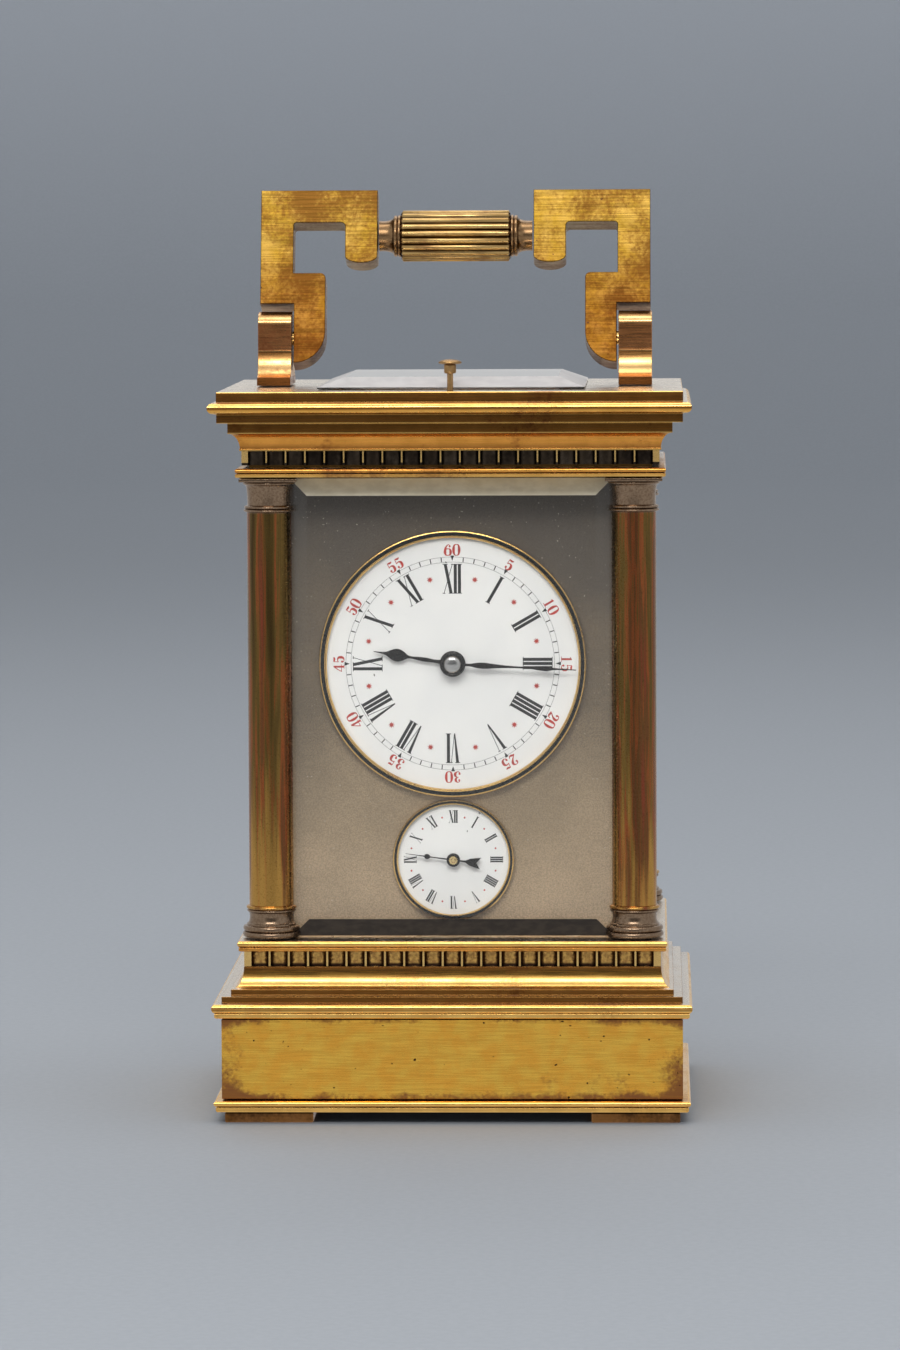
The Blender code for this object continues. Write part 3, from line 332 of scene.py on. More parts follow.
def grip_metal():
    """Bronze-gold reeds with painted shade in the valleys between them, by the distance from the grip's axis.
    """
    r = Recipe("grip_brass")
    lean = math.radians(HANDLE_LEAN)
    across = r.math("SUBTRACT", r.axis("Y"), GRIP_RISE * math.sin(lean))
    rise = r.math("SUBTRACT", r.axis("Z"), PIVOT_HEIGHT + GRIP_RISE * math.cos(lean))
    radius = r.math("SQRT", r.math("ADD", r.math("MULTIPLY", across, across), r.math("MULTIPLY", rise, rise)))
    marks = r.noise(1.6, (0.05, 1, 1), detail=3.0)
    crest = r.blend(r.spread(marks, 0.35, 0.7), (0.62, 0.42, 0.17), (0.42, 0.25, 0.09))
    crest = r.blend(
        r.spread(r.noise(0.22, detail=3.0, seed=5.0), 0.5, 0.7, 0, 0.6), crest, (0.26, 0.12, 0.05)
    )
    # Painted shade: near black deep in the valleys between the reeds.
    colour = r.blend(r.spread(radius, GRIP_RADIUS - 0.62, GRIP_RADIUS - 0.16), (0.07, 0.032, 0.012), crest)
    necks = r.spread(r.math("ABSOLUTE", r.axis("X")), 11.95, 12.1)
    colour = r.blend(
        necks, colour, r.blend(r.spread(marks, 0.35, 0.7), (0.36, 0.22, 0.11), (0.20, 0.115, 0.055))
    )
    return r.finish(colour, r.spread(marks, 0.3, 0.7, 0.24, 0.34), (marks, 0.06, 0.02))


def flute_metal():
    """Rough gold down the middle of each flute, with painted shade towards the ribs on both sides and along the
    bottom.
    """
    r = Recipe("flute_brass")
    front = r.math("PINGPONG", r.math("DIVIDE", r.axis("X"), FRONT_PITCH), 0.5)
    side = r.math("PINGPONG", r.math("ADD", r.math("DIVIDE", r.axis("Y"), SIDE_PITCH), 0.5), 0.5)
    on_front = r.spread(r.math("ABSOLUTE", r.axis("Y")), 36.6, 36.7)
    distance = r.math("ADD", r.math("MULTIPLY", on_front, front),
                      r.math("MULTIPLY", r.math("SUBTRACT", 1.0, on_front), side))
    grit = r.noise(1.7, detail=4.0, rough=0.7)
    ragged = r.math("ADD", distance, r.spread(grit, 0.3, 0.7, -0.07, 0.07))
    gold = r.blend(r.spread(grit, 0.35, 0.65), (0.78, 0.48, 0.14), (0.46, 0.24, 0.08))
    # Painted shade towards the ribs.
    colour = r.blend(r.spread(ragged, 0.20, 0.36), gold, (0.11, 0.055, 0.028))
    # Painted shade along the bottom of the band.
    colour = r.blend(r.spread(r.axis("Z"), 33.5, 34.0, 1, 0), colour, (0.06, 0.03, 0.018))
    return r.finish(colour, r.spread(grit, 0.3, 0.7, 0.3, 0.45), (grit, 0.5, 0.04))


BEVEL_PAINTED_LIGHT = painted_bevel_light()
TOP_BEVEL_PAINTED_LIGHT = painted_top_bevel()
GOLD, GOLD_STAIN = (0.86, 0.49, 0.13), (0.34, 0.135, 0.05)
ONE, LOW = (1.0, 1.0, 1.0), (0.24, 0.16, 0.12)
# Painted reflection for faces that look up, and painted shade for faces that look down.
UPWARD_REFLECTION, UNDERSIDE_SHADE = (0.74, 0.70, 0.64), (0.02, 0.017, 0.015)
SKIRT = brass("skirt_brass", GOLD, (0.45, 0.22, 0.07), 0.66, 0.22, brush=(0.04, 0.04, 1.6), under=UNDERSIDE_SHADE)
PLINTH = brass(
    "plinth_brass", (1.0, 0.50, 0.07), GOLD_STAIN, 0.655, 0.24, edges=(49.35, 43.1, 5.2, 22.4), spots=0.035,
    bump=0.08, under=UNDERSIDE_SHADE,
)
# Height tints of the stepped base: painted highlights on the beads, ledges and cavetto, a dark painted
# reflection band across each bead, and darker recessed faces.
BASE_LIGHT_BANDS = [
    (22.7, ONE), (24.3, ONE), (24.55, (0.30, 0.22, 0.17)), (24.75, (0.85, 0.75, 0.6)), (25.8, ONE),
    (25.95, LOW),
    (27.2, LOW), (27.3, ONE), (27.45, LOW), (28.5, LOW), (28.62, (0.9, 0.8, 0.7)), (29.2, ONE), (29.9, ONE),
    (31.4, (0.62, 0.55, 0.42)), (32.9, (0.36, 0.24, 0.19)), (33.3, (0.25, 0.17, 0.13)),
    (36.45, (0.5, 0.36, 0.28)),
    (36.6, (0.9, 0.72, 0.55)), (37.35, (0.8, 0.6, 0.45)), (37.5, (0.42, 0.27, 0.19)), (37.8, ONE),
    (38.8, ONE),
]
BASE = brass(
    "base_brass", (0.92, 0.53, 0.15), (0.42, 0.20, 0.075), 0.62, 0.24, zones=BASE_LIGHT_BANDS, top=UPWARD_REFLECTION,
    under=UNDERSIDE_SHADE
)
# Height tints of the cornice: painted highlight lines at the fillet edges and bead tops, dark painted
# reflection bands across the beads, and fascias darkened as a painted reflection of the dark they face.
TOP_LIGHT_BANDS = [
    (138.1, ONE), (138.9, (0.9, 0.75, 0.6)), (139.0, (0.3, 0.22, 0.18)), (139.4, (0.9, 0.7, 0.5)),
    (140.1, (0.55, 0.4, 0.3)), (140.2, (0.12, 0.10, 0.09)), (143.8, (0.12, 0.10, 0.09)), (143.85, ONE),
    (144.2, (0.9, 0.75, 0.6)), (144.35, (0.45, 0.30, 0.22)), (145.6, (0.85, 0.60, 0.38)),
    (147.0, (0.9, 0.66, 0.45)),
    (147.6, ONE), (147.75, ONE), (147.9, (0.26, 0.18, 0.13)), (149.6, (0.20, 0.14, 0.105)), (149.75, ONE),
    (149.95, ONE), (150.1, (0.24, 0.165, 0.125)), (151.6, (0.20, 0.14, 0.11)), (151.75, ONE),
    (152.6, (0.95, 0.78, 0.55)),
    (152.95, (0.34, 0.22, 0.15)), (153.25, (0.55, 0.4, 0.28)), (153.5, ONE), (154.3, ONE),
    (154.45, (0.26, 0.17, 0.12)),
    (156.2, (0.36, 0.24, 0.17)), (156.4, ONE), (156.5, ONE),
]
TOP = brass(
    "cornice_brass", (0.84, 0.52, 0.15), (0.36, 0.16, 0.07), 0.60, 0.25, zones=TOP_LIGHT_BANDS, top=UPWARD_REFLECTION
)
FEET = brass("foot_brass", (0.27, 0.115, 0.03), (0.09, 0.04, 0.017), 0.52, 0.34)
# Height tints of the handle posts: painted highlights on the rounded top, the thin line and the cove, and
# painted shade on the face and the base.
POST_LIGHT_BANDS = [
    (156.8, (0.34, 0.2, 0.13)), (158.5, (0.42, 0.26, 0.17)), (158.8, (0.9, 0.78, 0.62)), (160.5, ONE),
    (163.6, (0.95, 0.72, 0.5)),
    (164.0, (0.4, 0.26, 0.18)), (164.25, ONE), (164.5, (0.52, 0.36, 0.34)), (169.8, (0.56, 0.38, 0.34)),
    (170.9, ONE),
    (171.8, ONE), (172.7, (0.6, 0.4, 0.25)),
]
POSTS = brass("post_brass", (0.76, 0.48, 0.20), (0.36, 0.16, 0.07), 0.57, 0.26, zones=POST_LIGHT_BANDS)
HANDLE_ZONES = [(158.0, (0.72, 0.50, 0.45)), (174.0, (0.80, 0.62, 0.55)), (188.0, ONE), (200.0, ONE)]
HANDLE = brass(
    "handle_brass", (0.185, 0.108, 0.012), (0.145, 0.064, 0.012), 0.50, 0.32, brush=(0.03, 0.03, 1.6),
    spots=0.03,
    zones=HANDLE_ZONES, bump=0.1
)
REEDS = grip_metal()
RIM = brass("bezel_brass", (0.78, 0.50, 0.17), (0.34, 0.17, 0.06), 0.64, 0.20, brush=(1, 1, 1))
BUTTON = brass("button_brass", (0.40, 0.24, 0.10), (0.15, 0.08, 0.04), 0.5, 0.3, brush=(1, 1, 1))
DENTILS = flute_metal()
# The cornice flutes are painted near black, as the shade in their recesses.
DENTIL_SHADE = brass(
    "dentil_painted_shade", (0.05, 0.036, 0.024), (0.02, 0.015, 0.012), 0.5, 0.3, brush=(1, 1, 1)
)
FLUTE_EDGE = brass("dentil_edge_brass", (0.86, 0.56, 0.20), (0.5, 0.28, 0.1), 0.66, 0.28, brush=(1, 1, 1))
MOVEMENT = brass(
    "movement_brass", (0.86, 0.64, 0.30), (0.66, 0.42, 0.16), 0.66, 0.26, brush=(0.06, 0.06, 1.2)
)
DOOR = brass("door_brass", (0.76, 0.48, 0.14), (0.36, 0.17, 0.06), 0.60, 0.26, brush=(1.4, 0.05, 0.05))
COLUMN = columns_metal()
MASK = mask_metal()
ENAMEL = enamel()
BLACK_PRINT = paint("black_print", (0.012, 0.012, 0.013))
RED_PRINT = paint("red_print", (0.56, 0.045, 0.03))
STEEL = steel("polished_steel", (0.58, 0.575, 0.57), 0.17)
BLUED = steel("blued_steel", (0.045, 0.06, 0.16), 0.24)
BLACK = steel("blackened_steel", (0.028, 0.026, 0.025), 0.26)
COPPER = steel("copper_centre", (0.72, 0.36, 0.14), 0.2)
RUBY = Recipe("ruby", metallic=0.0, Roughness=0.06, Coat_Weight=0.5)
RUBY = RUBY.finish(RUBY.blend(RUBY.spread(RUBY.noise(1.0), 0.3, 0.7), (0.42, 0.01, 0.035), (0.6, 0.02, 0.06)))
CLEAR = glass()

# Shapes. Each is drawn in millimetres as a bmesh.


def quarter(start, end, upright, steps=9):
    """Points on a quarter ellipse from start to end, which leaves start upright or flat."""
    points = []
    for i in range(steps + 1):
        angle = 0.5 * math.pi * i / steps
        across, up = math.sin(angle), 1 - math.cos(angle)
        if upright:
            across, up = up, across
        points.append((start[0] + (end[0] - start[0]) * across, start[1] + (end[1] - start[1]) * up))
    return points


def bead(inner, outer, low, high, steps=7):
    """A half-round that swells from inner to outer between two heights."""
    centre = 0.5 * (low + high)
    lower = quarter((inner, low), (outer, centre), upright=False, steps=steps)
    return lower + quarter((outer, centre), (inner, high), upright=True, steps=steps)[1:]


def circle(radius, steps, centre=(0, 0), start=0.0, sweep=360.0):
    count = steps if sweep == 360.0 else steps + 1
    angles = [math.radians(start + sweep * i / steps) for i in range(count)]
    return [(centre[0] + radius * math.cos(a), centre[1] + radius * math.sin(a)) for a in angles]


def turned_by(place=(0, 0, 0), turn=(0, 0, 0)):
    angles = Euler([math.radians(a) for a in turn])
    return Matrix.Translation(place) @ angles.to_matrix().to_4x4()


def facing(x, height, spin=0.0):
    """Drawn in x and height, with +Z to the front, turned clockwise as seen from the front."""
    return turned_by((x, 0, height), (90, spin, 0))


def lathe(profile, steps=64, closed=False, radii=None):
    """A shape turned about Z. The profile is (radius, height), and radii may vary them with the angle."""
    made = bmesh.new()
    rings = []
    for radius, height in profile:
        if radius < 1e-6:
            rings.append([made.verts.new((0, 0, height))])
            continue
        ring = []
        for i in range(steps):
            angle = 2 * math.pi * i / steps
            r = radii(radius, angle) if radii else radius
            ring.append(made.verts.new((r * math.cos(angle), r * math.sin(angle), height)))
        rings.append(ring)
    for first, second in zip(rings, rings[1:] + ([rings[0]] if closed else [])):
        for i in range(steps):
            j = (i + 1) % steps
            corners = [first[i % len(first)], first[j % len(first)]]
            corners += [second[j % len(second)], second[i % len(second)]]
            corners = list(dict.fromkeys(corners))
            if len(corners) > 2:
                made.faces.new(corners)
    return made


def framed(points, capped=False):
    """A moulding swept round a rectangle. Points are (half x, half y, height)."""
    made = bmesh.new()
    rings = [[made.verts.new((sx * x, sy * y, z)) for sx, sy in CORNERS] for x, y, z in points]
    for first, second in zip(rings, rings[1:] if capped else rings[1:] + rings[:1]):
        for i in range(4):
            j = (i + 1) % 4
            made.faces.new((first[i], first[j], second[j], second[i]))
    if capped:
        made.faces.new(rings[0])
        made.faces.new(rings[-1])
    return made


def outward(profile):
    return [(half, half + DEPTH_CHANGE, height) for half, height in profile]


def block(low, high):
    made = bmesh.new()
    bmesh.ops.create_cube(made, size=1.0)
    bmesh.ops.scale(made, vec=[h - l for l, h in zip(low, high)], verts=made.verts)
    bmesh.ops.translate(made, vec=[0.5 * (l + h) for l, h in zip(low, high)], verts=made.verts)
    return made


def prism(outline, low, high):
    """An extruded outline with no holes."""
    made = bmesh.new()
    base = [made.verts.new((x, y, low)) for x, y in outline]
    top = [made.verts.new((x, y, high)) for x, y in outline]
    made.faces.new(base[::-1])
    made.faces.new(top)
    for i in range(len(base)):
        j = (i + 1) % len(base)
        made.faces.new((base[i], base[j], top[j], top[i]))
    return made


def plate(outlines, low, high, bevel=0.15, segments=1):
    """A flat piece with rounded rims. The first outline is its outside, the rest are holes."""
    curve = bpy.data.curves.new("outline", "CURVE")
    curve.dimensions = "2D"
    curve.fill_mode = "BOTH"
    curve.extrude = 0.5 * (high - low) - bevel
    curve.bevel_depth = bevel
    curve.bevel_resolution = segments
    curve.offset = -bevel
    for outline in outlines:
        spline = curve.splines.new("POLY")
        spline.points.add(len(outline) - 1)
        for point, (x, y) in zip(spline.points, outline):
            point.co = (x, y, 0, 1)
        spline.use_cyclic_u = True
    return from_curve(curve, 0.5 * (low + high))


def from_curve(curve, lift=0.0):
    drawn = bpy.data.objects.new("drawn", curve)
    bpy.context.scene.collection.objects.link(drawn)
    graph = bpy.context.evaluated_depsgraph_get()
    mesh = bpy.data.meshes.new_from_object(drawn.evaluated_get(graph))
    bpy.data.objects.remove(drawn)
    bpy.data.curves.remove(curve)
    made = bmesh.new()
    made.from_mesh(mesh)
    bpy.data.meshes.remove(mesh)
    bmesh.ops.remove_doubles(made, verts=made.verts, dist=1e-4)
    bmesh.ops.translate(made, vec=(0, 0, lift), verts=made.verts)
    return made


def moved(made, matrix):
    bmesh.ops.transform(made, matrix=matrix, verts=made.verts)
    return made


def together(*parts):
    """One bmesh of several closed shapes."""
    whole = bmesh.new()
    for part in parts:
        mesh = bpy.data.meshes.new("part")
        part.to_mesh(mesh)
        part.free()
        whole.from_mesh(mesh)
        bpy.data.meshes.remove(mesh)
    return whole


def piece(name, made, material, body, replaces=(), matrix=None, bevel=0.0, smooth=32.0):
    """Makes the bmesh a piece that rides on a body."""
    if matrix:
        moved(made, matrix)
    bmesh.ops.recalc_face_normals(made, faces=made.faces)
    bmesh.ops.scale(made, vec=(MM, MM, MM), verts=made.verts)
    mesh = bpy.data.meshes.new(name)
    made.to_mesh(mesh)
    made.free()
    mesh.shade_smooth()
    mesh.set_sharp_from_angle(angle=math.radians(smooth))
    mesh.materials.append(material)
    obj = bpy.data.objects.new(name, mesh)
    bpy.context.scene.collection.objects.link(obj)
    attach(obj, body)
    if replaces:
        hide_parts(*replaces)
    if bevel:
        soften(obj, bevel)
    return obj


def soften(obj, width, segments=2):
    """Rounds the sharp edges a little, so that they catch the light."""
    modifier = obj.modifiers.new("worn_edges", "BEVEL")
    modifier.width = width * MM
    modifier.segments = segments
    modifier.limit_method = "ANGLE"
    modifier.angle_limit = math.radians(38)
    modifier.harden_normals = True


def carve(obj, *cutters):
    """Cuts bmeshes out of the piece for good."""
    for made in cutters:
        bmesh.ops.recalc_face_normals(made, faces=made.faces)
        bmesh.ops.scale(made, vec=(MM, MM, MM), verts=made.verts)
        mesh = bpy.data.meshes.new("cutter")
        made.to_mesh(mesh)
        made.free()
        cutter = bpy.data.objects.new("cutter", mesh)
        bpy.context.scene.collection.objects.link(cutter)
        modifier = obj.modifiers.new("cut", "BOOLEAN")
        modifier.object = cutter
        modifier.solver = "EXACT"
        graph = bpy.context.evaluated_depsgraph_get()
        carved = bpy.data.meshes.new_from_object(obj.evaluated_get(graph))
        obj.modifiers.remove(modifier)
        obj.data = carved
        bpy.data.objects.remove(cutter)


# The case.


def case_mouldings():
    profile = [(50.3, 2.5), (50.6, 2.8), (50.6, 3.5), (50.3, 3.65)] + bead(50.3, 51.05, 3.7, 4.9)
    piece(
        "skirt_moulding", framed(outward(profile), True), SKIRT, "case", ["plinth_skirt"],
        bevel=0.08
    )

    edge = 0.12
    profile = [(49.35 - edge, 5.2), (49.35, 5.2 + edge), (49.35, 22.4 - edge), (49.35 - edge, 22.4)]
    walls = outward(profile) + [(46.85, 40.6, 22.4), (46.85, 40.6, 5.2)]
    piece("plinth_walls", framed(walls), PLINTH, "case", ["plinth_body"])

    profile = [(50.5, 22.7), (50.8, 22.95), (50.8, 23.75)] + bead(50.55, 51.4, 23.85, 25.8)
    profile += [(49.3, 25.95), (49.3, 27.25), (47.4, 27.4), (47.4, 28.55)]
    profile += quarter((47.1, 28.65), (44.75, 33.0), upright=False)
    profile += [(44.75, 33.15), (42.9, 33.25), (42.9, 36.45), (45.4, 36.5), (45.8, 36.7), (45.8, 37.35)]
    profile += bead(45.45, 46.1, 37.45, 38.8)
    points = [(40.0, 33.75, 35.8), (40.0, 33.75, 22.7)] + outward(profile)
    piece(
        "stepped_base", framed(points, True), BASE, "case", ["base_moulding"], bevel=0.09
    )

    profile = [(45.4, 138.1), (45.8, 138.25), (45.85, 138.9), (45.3, 139.0)] + bead(45.3, 45.9, 139.05, 140.1)
    profile += [(43.0, 140.2), (43.0, 143.8), (44.95, 143.85), (44.95, 144.2)]
    profile += quarter((44.85, 144.3), (47.3, 147.6), upright=True)
    profile += [(47.3, 149.75), (49.5, 149.9), (49.5, 151.7), (49.8, 151.8)] + bead(49.9, 51.4, 151.85, 154.3)
    profile += [(49.55, 154.4), (49.55, 156.35), (49.4, 156.5)]
    points = outward(profile) + [
        (25.5, 27.7, 156.5), (25.5, 27.7, 153.5), (34.3, 28.0, 153.5), (34.3, 28.0, 138.1)
    ]
    top = piece("cornice_block", framed(points), TOP, "case", ["entablature"])
    hole = moved(lathe([(0, 150.0), (1.0, 150.0), (1.0, 158.0), (0, 158.0)], 24), turned_by((0, -36.5, 0)))
    carve(top, block((-2.5, -37.7, 144.2), (2.5, -27.0, 151.5)), hole)
    top.data.shade_smooth()
    top.data.set_sharp_from_angle(angle=math.radians(32))
    soften(top, 0.09)
    for node in ("foot_front_left", "foot_front_right", "foot_back_left", "foot_back_right"):
        dress(node, FEET, 0.2)


def dress(node, material, bevel=0.0):
    """Gives a CAD node its material, and softer edges."""
    obj = frame["nodes"][node]
    obj.data.materials.clear()
    obj.data.materials.append(material)
    if bevel:
        soften(obj, bevel)


def fluted_side(half_length, front, floor, pitch, count, rib):
    """The plan outline of one side's row of hollow flutes between thin ribs, from left to right."""
    start = -0.5 * pitch * count
    outline = [(-half_length, front)]
    for i in range(count):
        left, right = start + i * pitch + 0.5 * rib, start + (i + 1) * pitch - 0.5 * rib
        centre, reach = 0.5 * (left + right), 0.5 * (right - left)
        for step in range(9):
            angle = math.pi * step / 8
            outline.append(
                (centre - reach * math.cos(angle), front - (front - floor) * math.sin(angle) ** 0.8)
            )
    outline.append((half_length, front))
    return outline


def flutes(name, half, depth, low, high, material):
    """A band of flutes on all four sides, between a front plane and a floor plane."""
    made = []
    for turn in range(4):
        side = half if turn % 2 == 0 else half + DEPTH_CHANGE
        plane = half + DEPTH_CHANGE if turn % 2 == 0 else half
        count, pitch = (FRONT_FLUTES, FRONT_PITCH) if turn % 2 == 0 else (SIDE_FLUTES, SIDE_PITCH)
        outline = fluted_side(side - 0.02, plane, plane - depth, pitch, count, 0.45)
        outline = [(x, -y) for x, y in outline]
        back = plane - depth - 0.4
        outline += [(side - depth - 0.42, -back), (-side + depth + 0.42, -back)]
        made.append(moved(prism(outline, low, high), turned_by(turn=(0, 0, 90 * turn))))
    return piece(name, together(*made), material, "case", smooth=40)


def case_bands():
    flutes("base_flutes", 44.65, 1.7, 33.3, 36.4, DENTILS)
    flutes("cornice_flutes", 44.5, 1.45, 140.75, 143.8, DENTIL_SHADE)
    ribs = []
    for turn in range(4):
        count, pitch = (FRONT_FLUTES, FRONT_PITCH) if turn % 2 == 0 else (SIDE_FLUTES, SIDE_PITCH)
        for i in range(count + 1):
            x = (i - 0.5 * count) * pitch
            for half, low, high, wide in ((44.65, 33.25, 36.42, 0.2), (44.5, 141.3, 143.82, 0.15)):
                plane = half + (DEPTH_CHANGE if turn % 2 == 0 else 0)
                end = half + (0 if turn % 2 == 0 else DEPTH_CHANGE)
                ends = sorted((math.copysign(end, x), x - math.copysign(0.22, x))) if i in (0,
                    count) else (x - wide, x + wide)
                rib = block((ends[0], -plane - 0.04, low), (ends[1], -plane + 0.12, high))
                ribs.append(moved(rib, turned_by(turn=(0, 0, 90 * turn))))
    piece("flute_ribs", together(*ribs), FLUTE_EDGE, "case")


def column_shapes():
    profile = [(0, 39.1), (5.75, 39.1)] + bead(5.75, 6.26, 39.15, 40.35, 5) + bead(5.7, 6.15, 40.4, 41.6, 5)
    profile += [(5.35, 41.7), (5.35, 42.0)] + quarter((5.3, 42.05), (4.75, 43.5), False, 6)
    profile += quarter((4.75, 43.5), (5.05, 44.5), True, 4) + bead(5.0, 5.3, 44.55, 45.1, 4)
    profile += bead(5.05, 5.45, 45.15, 45.9, 5) + [(4.79, 46.0), (4.79, 130.5)]
    profile += bead(5.0, 5.5, 130.6, 131.25, 5) + bead(4.95, 5.35, 131.3, 131.95, 5)
    profile += quarter((4.65, 132.1), (5.1, 136.3), True, 8)
    profile += bead(5.2, 5.6, 136.4, 137.1, 5) + [(5.2, 137.15), (0, 137.15)]
    for end, y in (("front", -COLUMN_Y), ("back", COLUMN_Y)):
        for side, x in (("left", -COLUMN_X), ("right", COLUMN_X)):
            abacus = moved(
                plate([[(a * 6.1, b * 6.1) for a, b in CORNERS]], 137.15, 137.85, 0.12), turned_by((x, y, 0))
            )
            shaft = moved(lathe(profile, 72), turned_by((x, y, 0)))
            name = f"column_{end}_{side}"
            piece(f"{name}_turned", together(shaft, abacus), COLUMN, "case", [name])


def posts():
    half = [(9.6, 156.8), (9.6, 158.5)] + quarter((9.2, 158.6), (5.2, 164.2), False, 18)
    half += [(5.2, 164.35), (5.0, 164.4), (5.0, 170.2)] + quarter((5.0, 170.2), (0, 172.7), True, 14)[1:]
    outline = half + [(-depth, height) for depth, height in half[-2::-1]]
    for side, x in (("left", -43.0), ("right", 35.7)):
        made = plate([outline, circle(1.56, 32, (0, PIVOT_HEIGHT))], 0, 7.3, 0.12)
        matrix = turned_by((x, 0, 0), (90, 0, 90))
        piece(f"post_{side}", made, POSTS, "case", [f"handle_post_{side}"], matrix, smooth=14)
        screw = [(0, 29.5), (1.35, 29.5), (1.5, 29.7), (1.5, 42.75), (1.35, 42.9), (0, 42.9)]
        matrix = turned_by((0, 0, PIVOT_HEIGHT), (0, -90 if side == "left" else 90, 0))
        obj = piece(
            f"pivot_screw_{side}", lathe(screw, 40), RIM, "case", [f"handle_screw_{side}"],
            matrix
        )
        carve(obj, moved(block((-0.25, -4, 42.2), (0.25, 4, 46)), matrix))
        obj.data.shade_smooth()
        obj.data.set_sharp_from_angle(angle=math.radians(32))


# The handle.


def arm_outline():
    outline = [(42.7, 7.0), (42.7, 32.6), (17.1, 32.6)]
    outline += quarter((17.1, 17.7), (20.65, 16.2), True, 8)
    outline += quarter((20.65, 16.2), (24.2, 17.7), False, 8)[1:]
    outline += quarter((24.2, 24.4), (25.1, 25.3), True, 4)
    outline += quarter((34.9, 25.3), (35.5, 24.7), False, 4) + [(35.5, 13.9)]
    outline += quarter((29.5, 13.9), (28.4, 12.8), False, 4)
    outline += quarter((28.4, 0.6), (35.3, -6.3), True, 14) + [(35.3, 7.0)]
    return outline


def handle():
    lean = turned_by((0, 0, PIVOT_HEIGHT), (-HANDLE_LEAN, 0, 0))
    for side, sign in (("left", -1), ("right", 1)):
        outline = [(sign * x, height) for x, height in arm_outline()]
        matrix = lean @ turned_by(turn=(90, 0, 0))
        node = f"handle_arm_{side}"
        made = plate([outline], -3.6, 3.6, 0.14)
        piece(f"key_arm_{side}", made, HANDLE, "handle", [node], matrix, smooth=14)

    reeds, reach = 20, 12.0
    body = [(0, -reach), (5.0, -reach), (GRIP_RADIUS, -reach + 0.45), (GRIP_RADIUS, reach - 0.45)]
    body += [(5.0, reach), (0, reach)]

    def reeded(radius, angle):
        return radius - REED_DEPTH * (1 - abs(math.sin(0.5 * reeds * angle)) ** 0.75)

    core = lathe(body, reeds * 12, radii=reeded)
    ends = []
    for sign in (-1, 1):
        neck = [(0, 11.8), (4.3, 11.8)] + bead(4.3, 4.65, 12.0, 12.75, 4) + bead(4.25, 4.55, 12.8, 13.6, 4)
        neck += quarter((4.2, 13.65), (3.3, 16.0), False, 8) + [(3.35, 16.8)]
        neck += [(0, 16.8)]
        ends.append(lathe([(r, sign * h) for r, h in neck], 56))
    grip = together(core, *ends)
    matrix = lean @ turned_by((0, 0, GRIP_RISE), (0, 90, 0))
    piece("reeded_grip", grip, REEDS, "handle", ["handle_grip"], matrix, smooth=50)


def button():
    profile = [
        (0, 149.3), (0.65, 149.3), (0.65, 160.1), (1.15, 160.2), (1.3, 160.5), (1.3, 161.9), (1.1, 162.05)
    ]
    profile += [(2.1, 162.15), (2.5, 162.35)] + quarter((2.5, 162.45), (0, 163.2), True, 9)
    piece(
        "button_stem", lathe(profile, 40), BUTTON, "repeat_button", ["repeat_button"],
        turned_by((0, -36.5, 0))
    )
    dress("repeat_lever", STEEL, 0.1)


# The dials.

HEAVY, THIN, SERIF, SPACE = 0.66, 0.13, 0.22, 0.23
PEN = 1.25


def letter(kind, height, size):
    """(polygons, width) of a Roman letter with its foot at 0."""
    heavy, thin, serif = HEAVY * size, THIN * size, SERIF * size
    cap = 0.15 * size

    def foot(left, right, low):
        return [
            (left - serif, low), (right + serif, low), (right + serif, low + cap), (left - serif, low + cap)
        ]

    if kind == "I":
        bar = [(0, 0), (heavy, 0), (heavy, height), (0, height)]
        return [bar, foot(0, heavy, 0), foot(0, heavy, height - cap)], heavy
    if kind == "V":
        wide = 1.74 * size
        centre = 0.5 * (wide + heavy) - 0.24 * size
        left = [(0, height), (centre - 0.12 * size, 0), (centre + 0.14 * size, 0), (heavy, height)]
        right = [(wide - thin, height), (centre, 0), (centre + 0.12 * size, 0), (wide, height)]
        return [left, right, foot(0, heavy, height - cap), foot(wide - thin, wide, height - cap)], wide
    wide = 1.95 * size
    left = [(0, height), (wide - heavy, 0), (wide, 0), (heavy, height)]
    right = [(wide - thin, height), (0, 0), (thin, 0), (wide, height)]
    caps = [foot(0, heavy, height - cap), foot(wide - thin, wide, height - cap)]
    return [left, right, *caps, foot(0, thin, 0), foot(wide - heavy, wide, 0)], wide


def numeral(text, height, size):
    """The polygons of a Roman numeral, centred on 0."""
    polygons, at = [], 0.0
    for kind in text:
        shapes, width = letter(kind, height, size)
        polygons += [[(x + at, y) for x, y in shape] for shape in shapes]
        at += width + SPACE * size
    shift = 0.5 * (at - SPACE * size)
    return [[(x - shift, y) for x, y in shape] for shape in polygons]


def stroke(points, steps=6):
    """The outline of a pen stroke through (x, y, width) points, smoothed."""
    smooth = []
    count = len(points)
    for i in range(count - 1):
        before, first = points[max(i - 1, 0)], points[i]
        second, after = points[i + 1], points[min(i + 2, count - 1)]
        for step in range(steps + (i == count - 2)):
            t = step / steps
            smooth.append([
                0.5 * (
                    (2 * b) + (c - a) * t + (2 * a - 5 * b + 4 * c - d) * t * t + (3 * b - a - 3 * c + d) * t**3
                )
                for a, b, c, d in zip(before, first, second, after)
            ])
    left, right = [], []
    for i, (x, y, wide) in enumerate(smooth):
        ahead, behind = smooth[min(i + 1, len(smooth) - 1)], smooth[max(i - 1, 0)]
        dx, dy = ahead[0] - behind[0], ahead[1] - behind[1]
        length = math.hypot(dx, dy) or 1.0
        half = 0.5 * max(PEN * wide, 0.02)
        left.append((x - dy / length * half, y + dx / length * half))
        right.append((x + dy / length * half, y - dx / length * half))
    return left + right[::-1]


def dot(x, y, radius):
    return circle(radius, 12, (x, y))


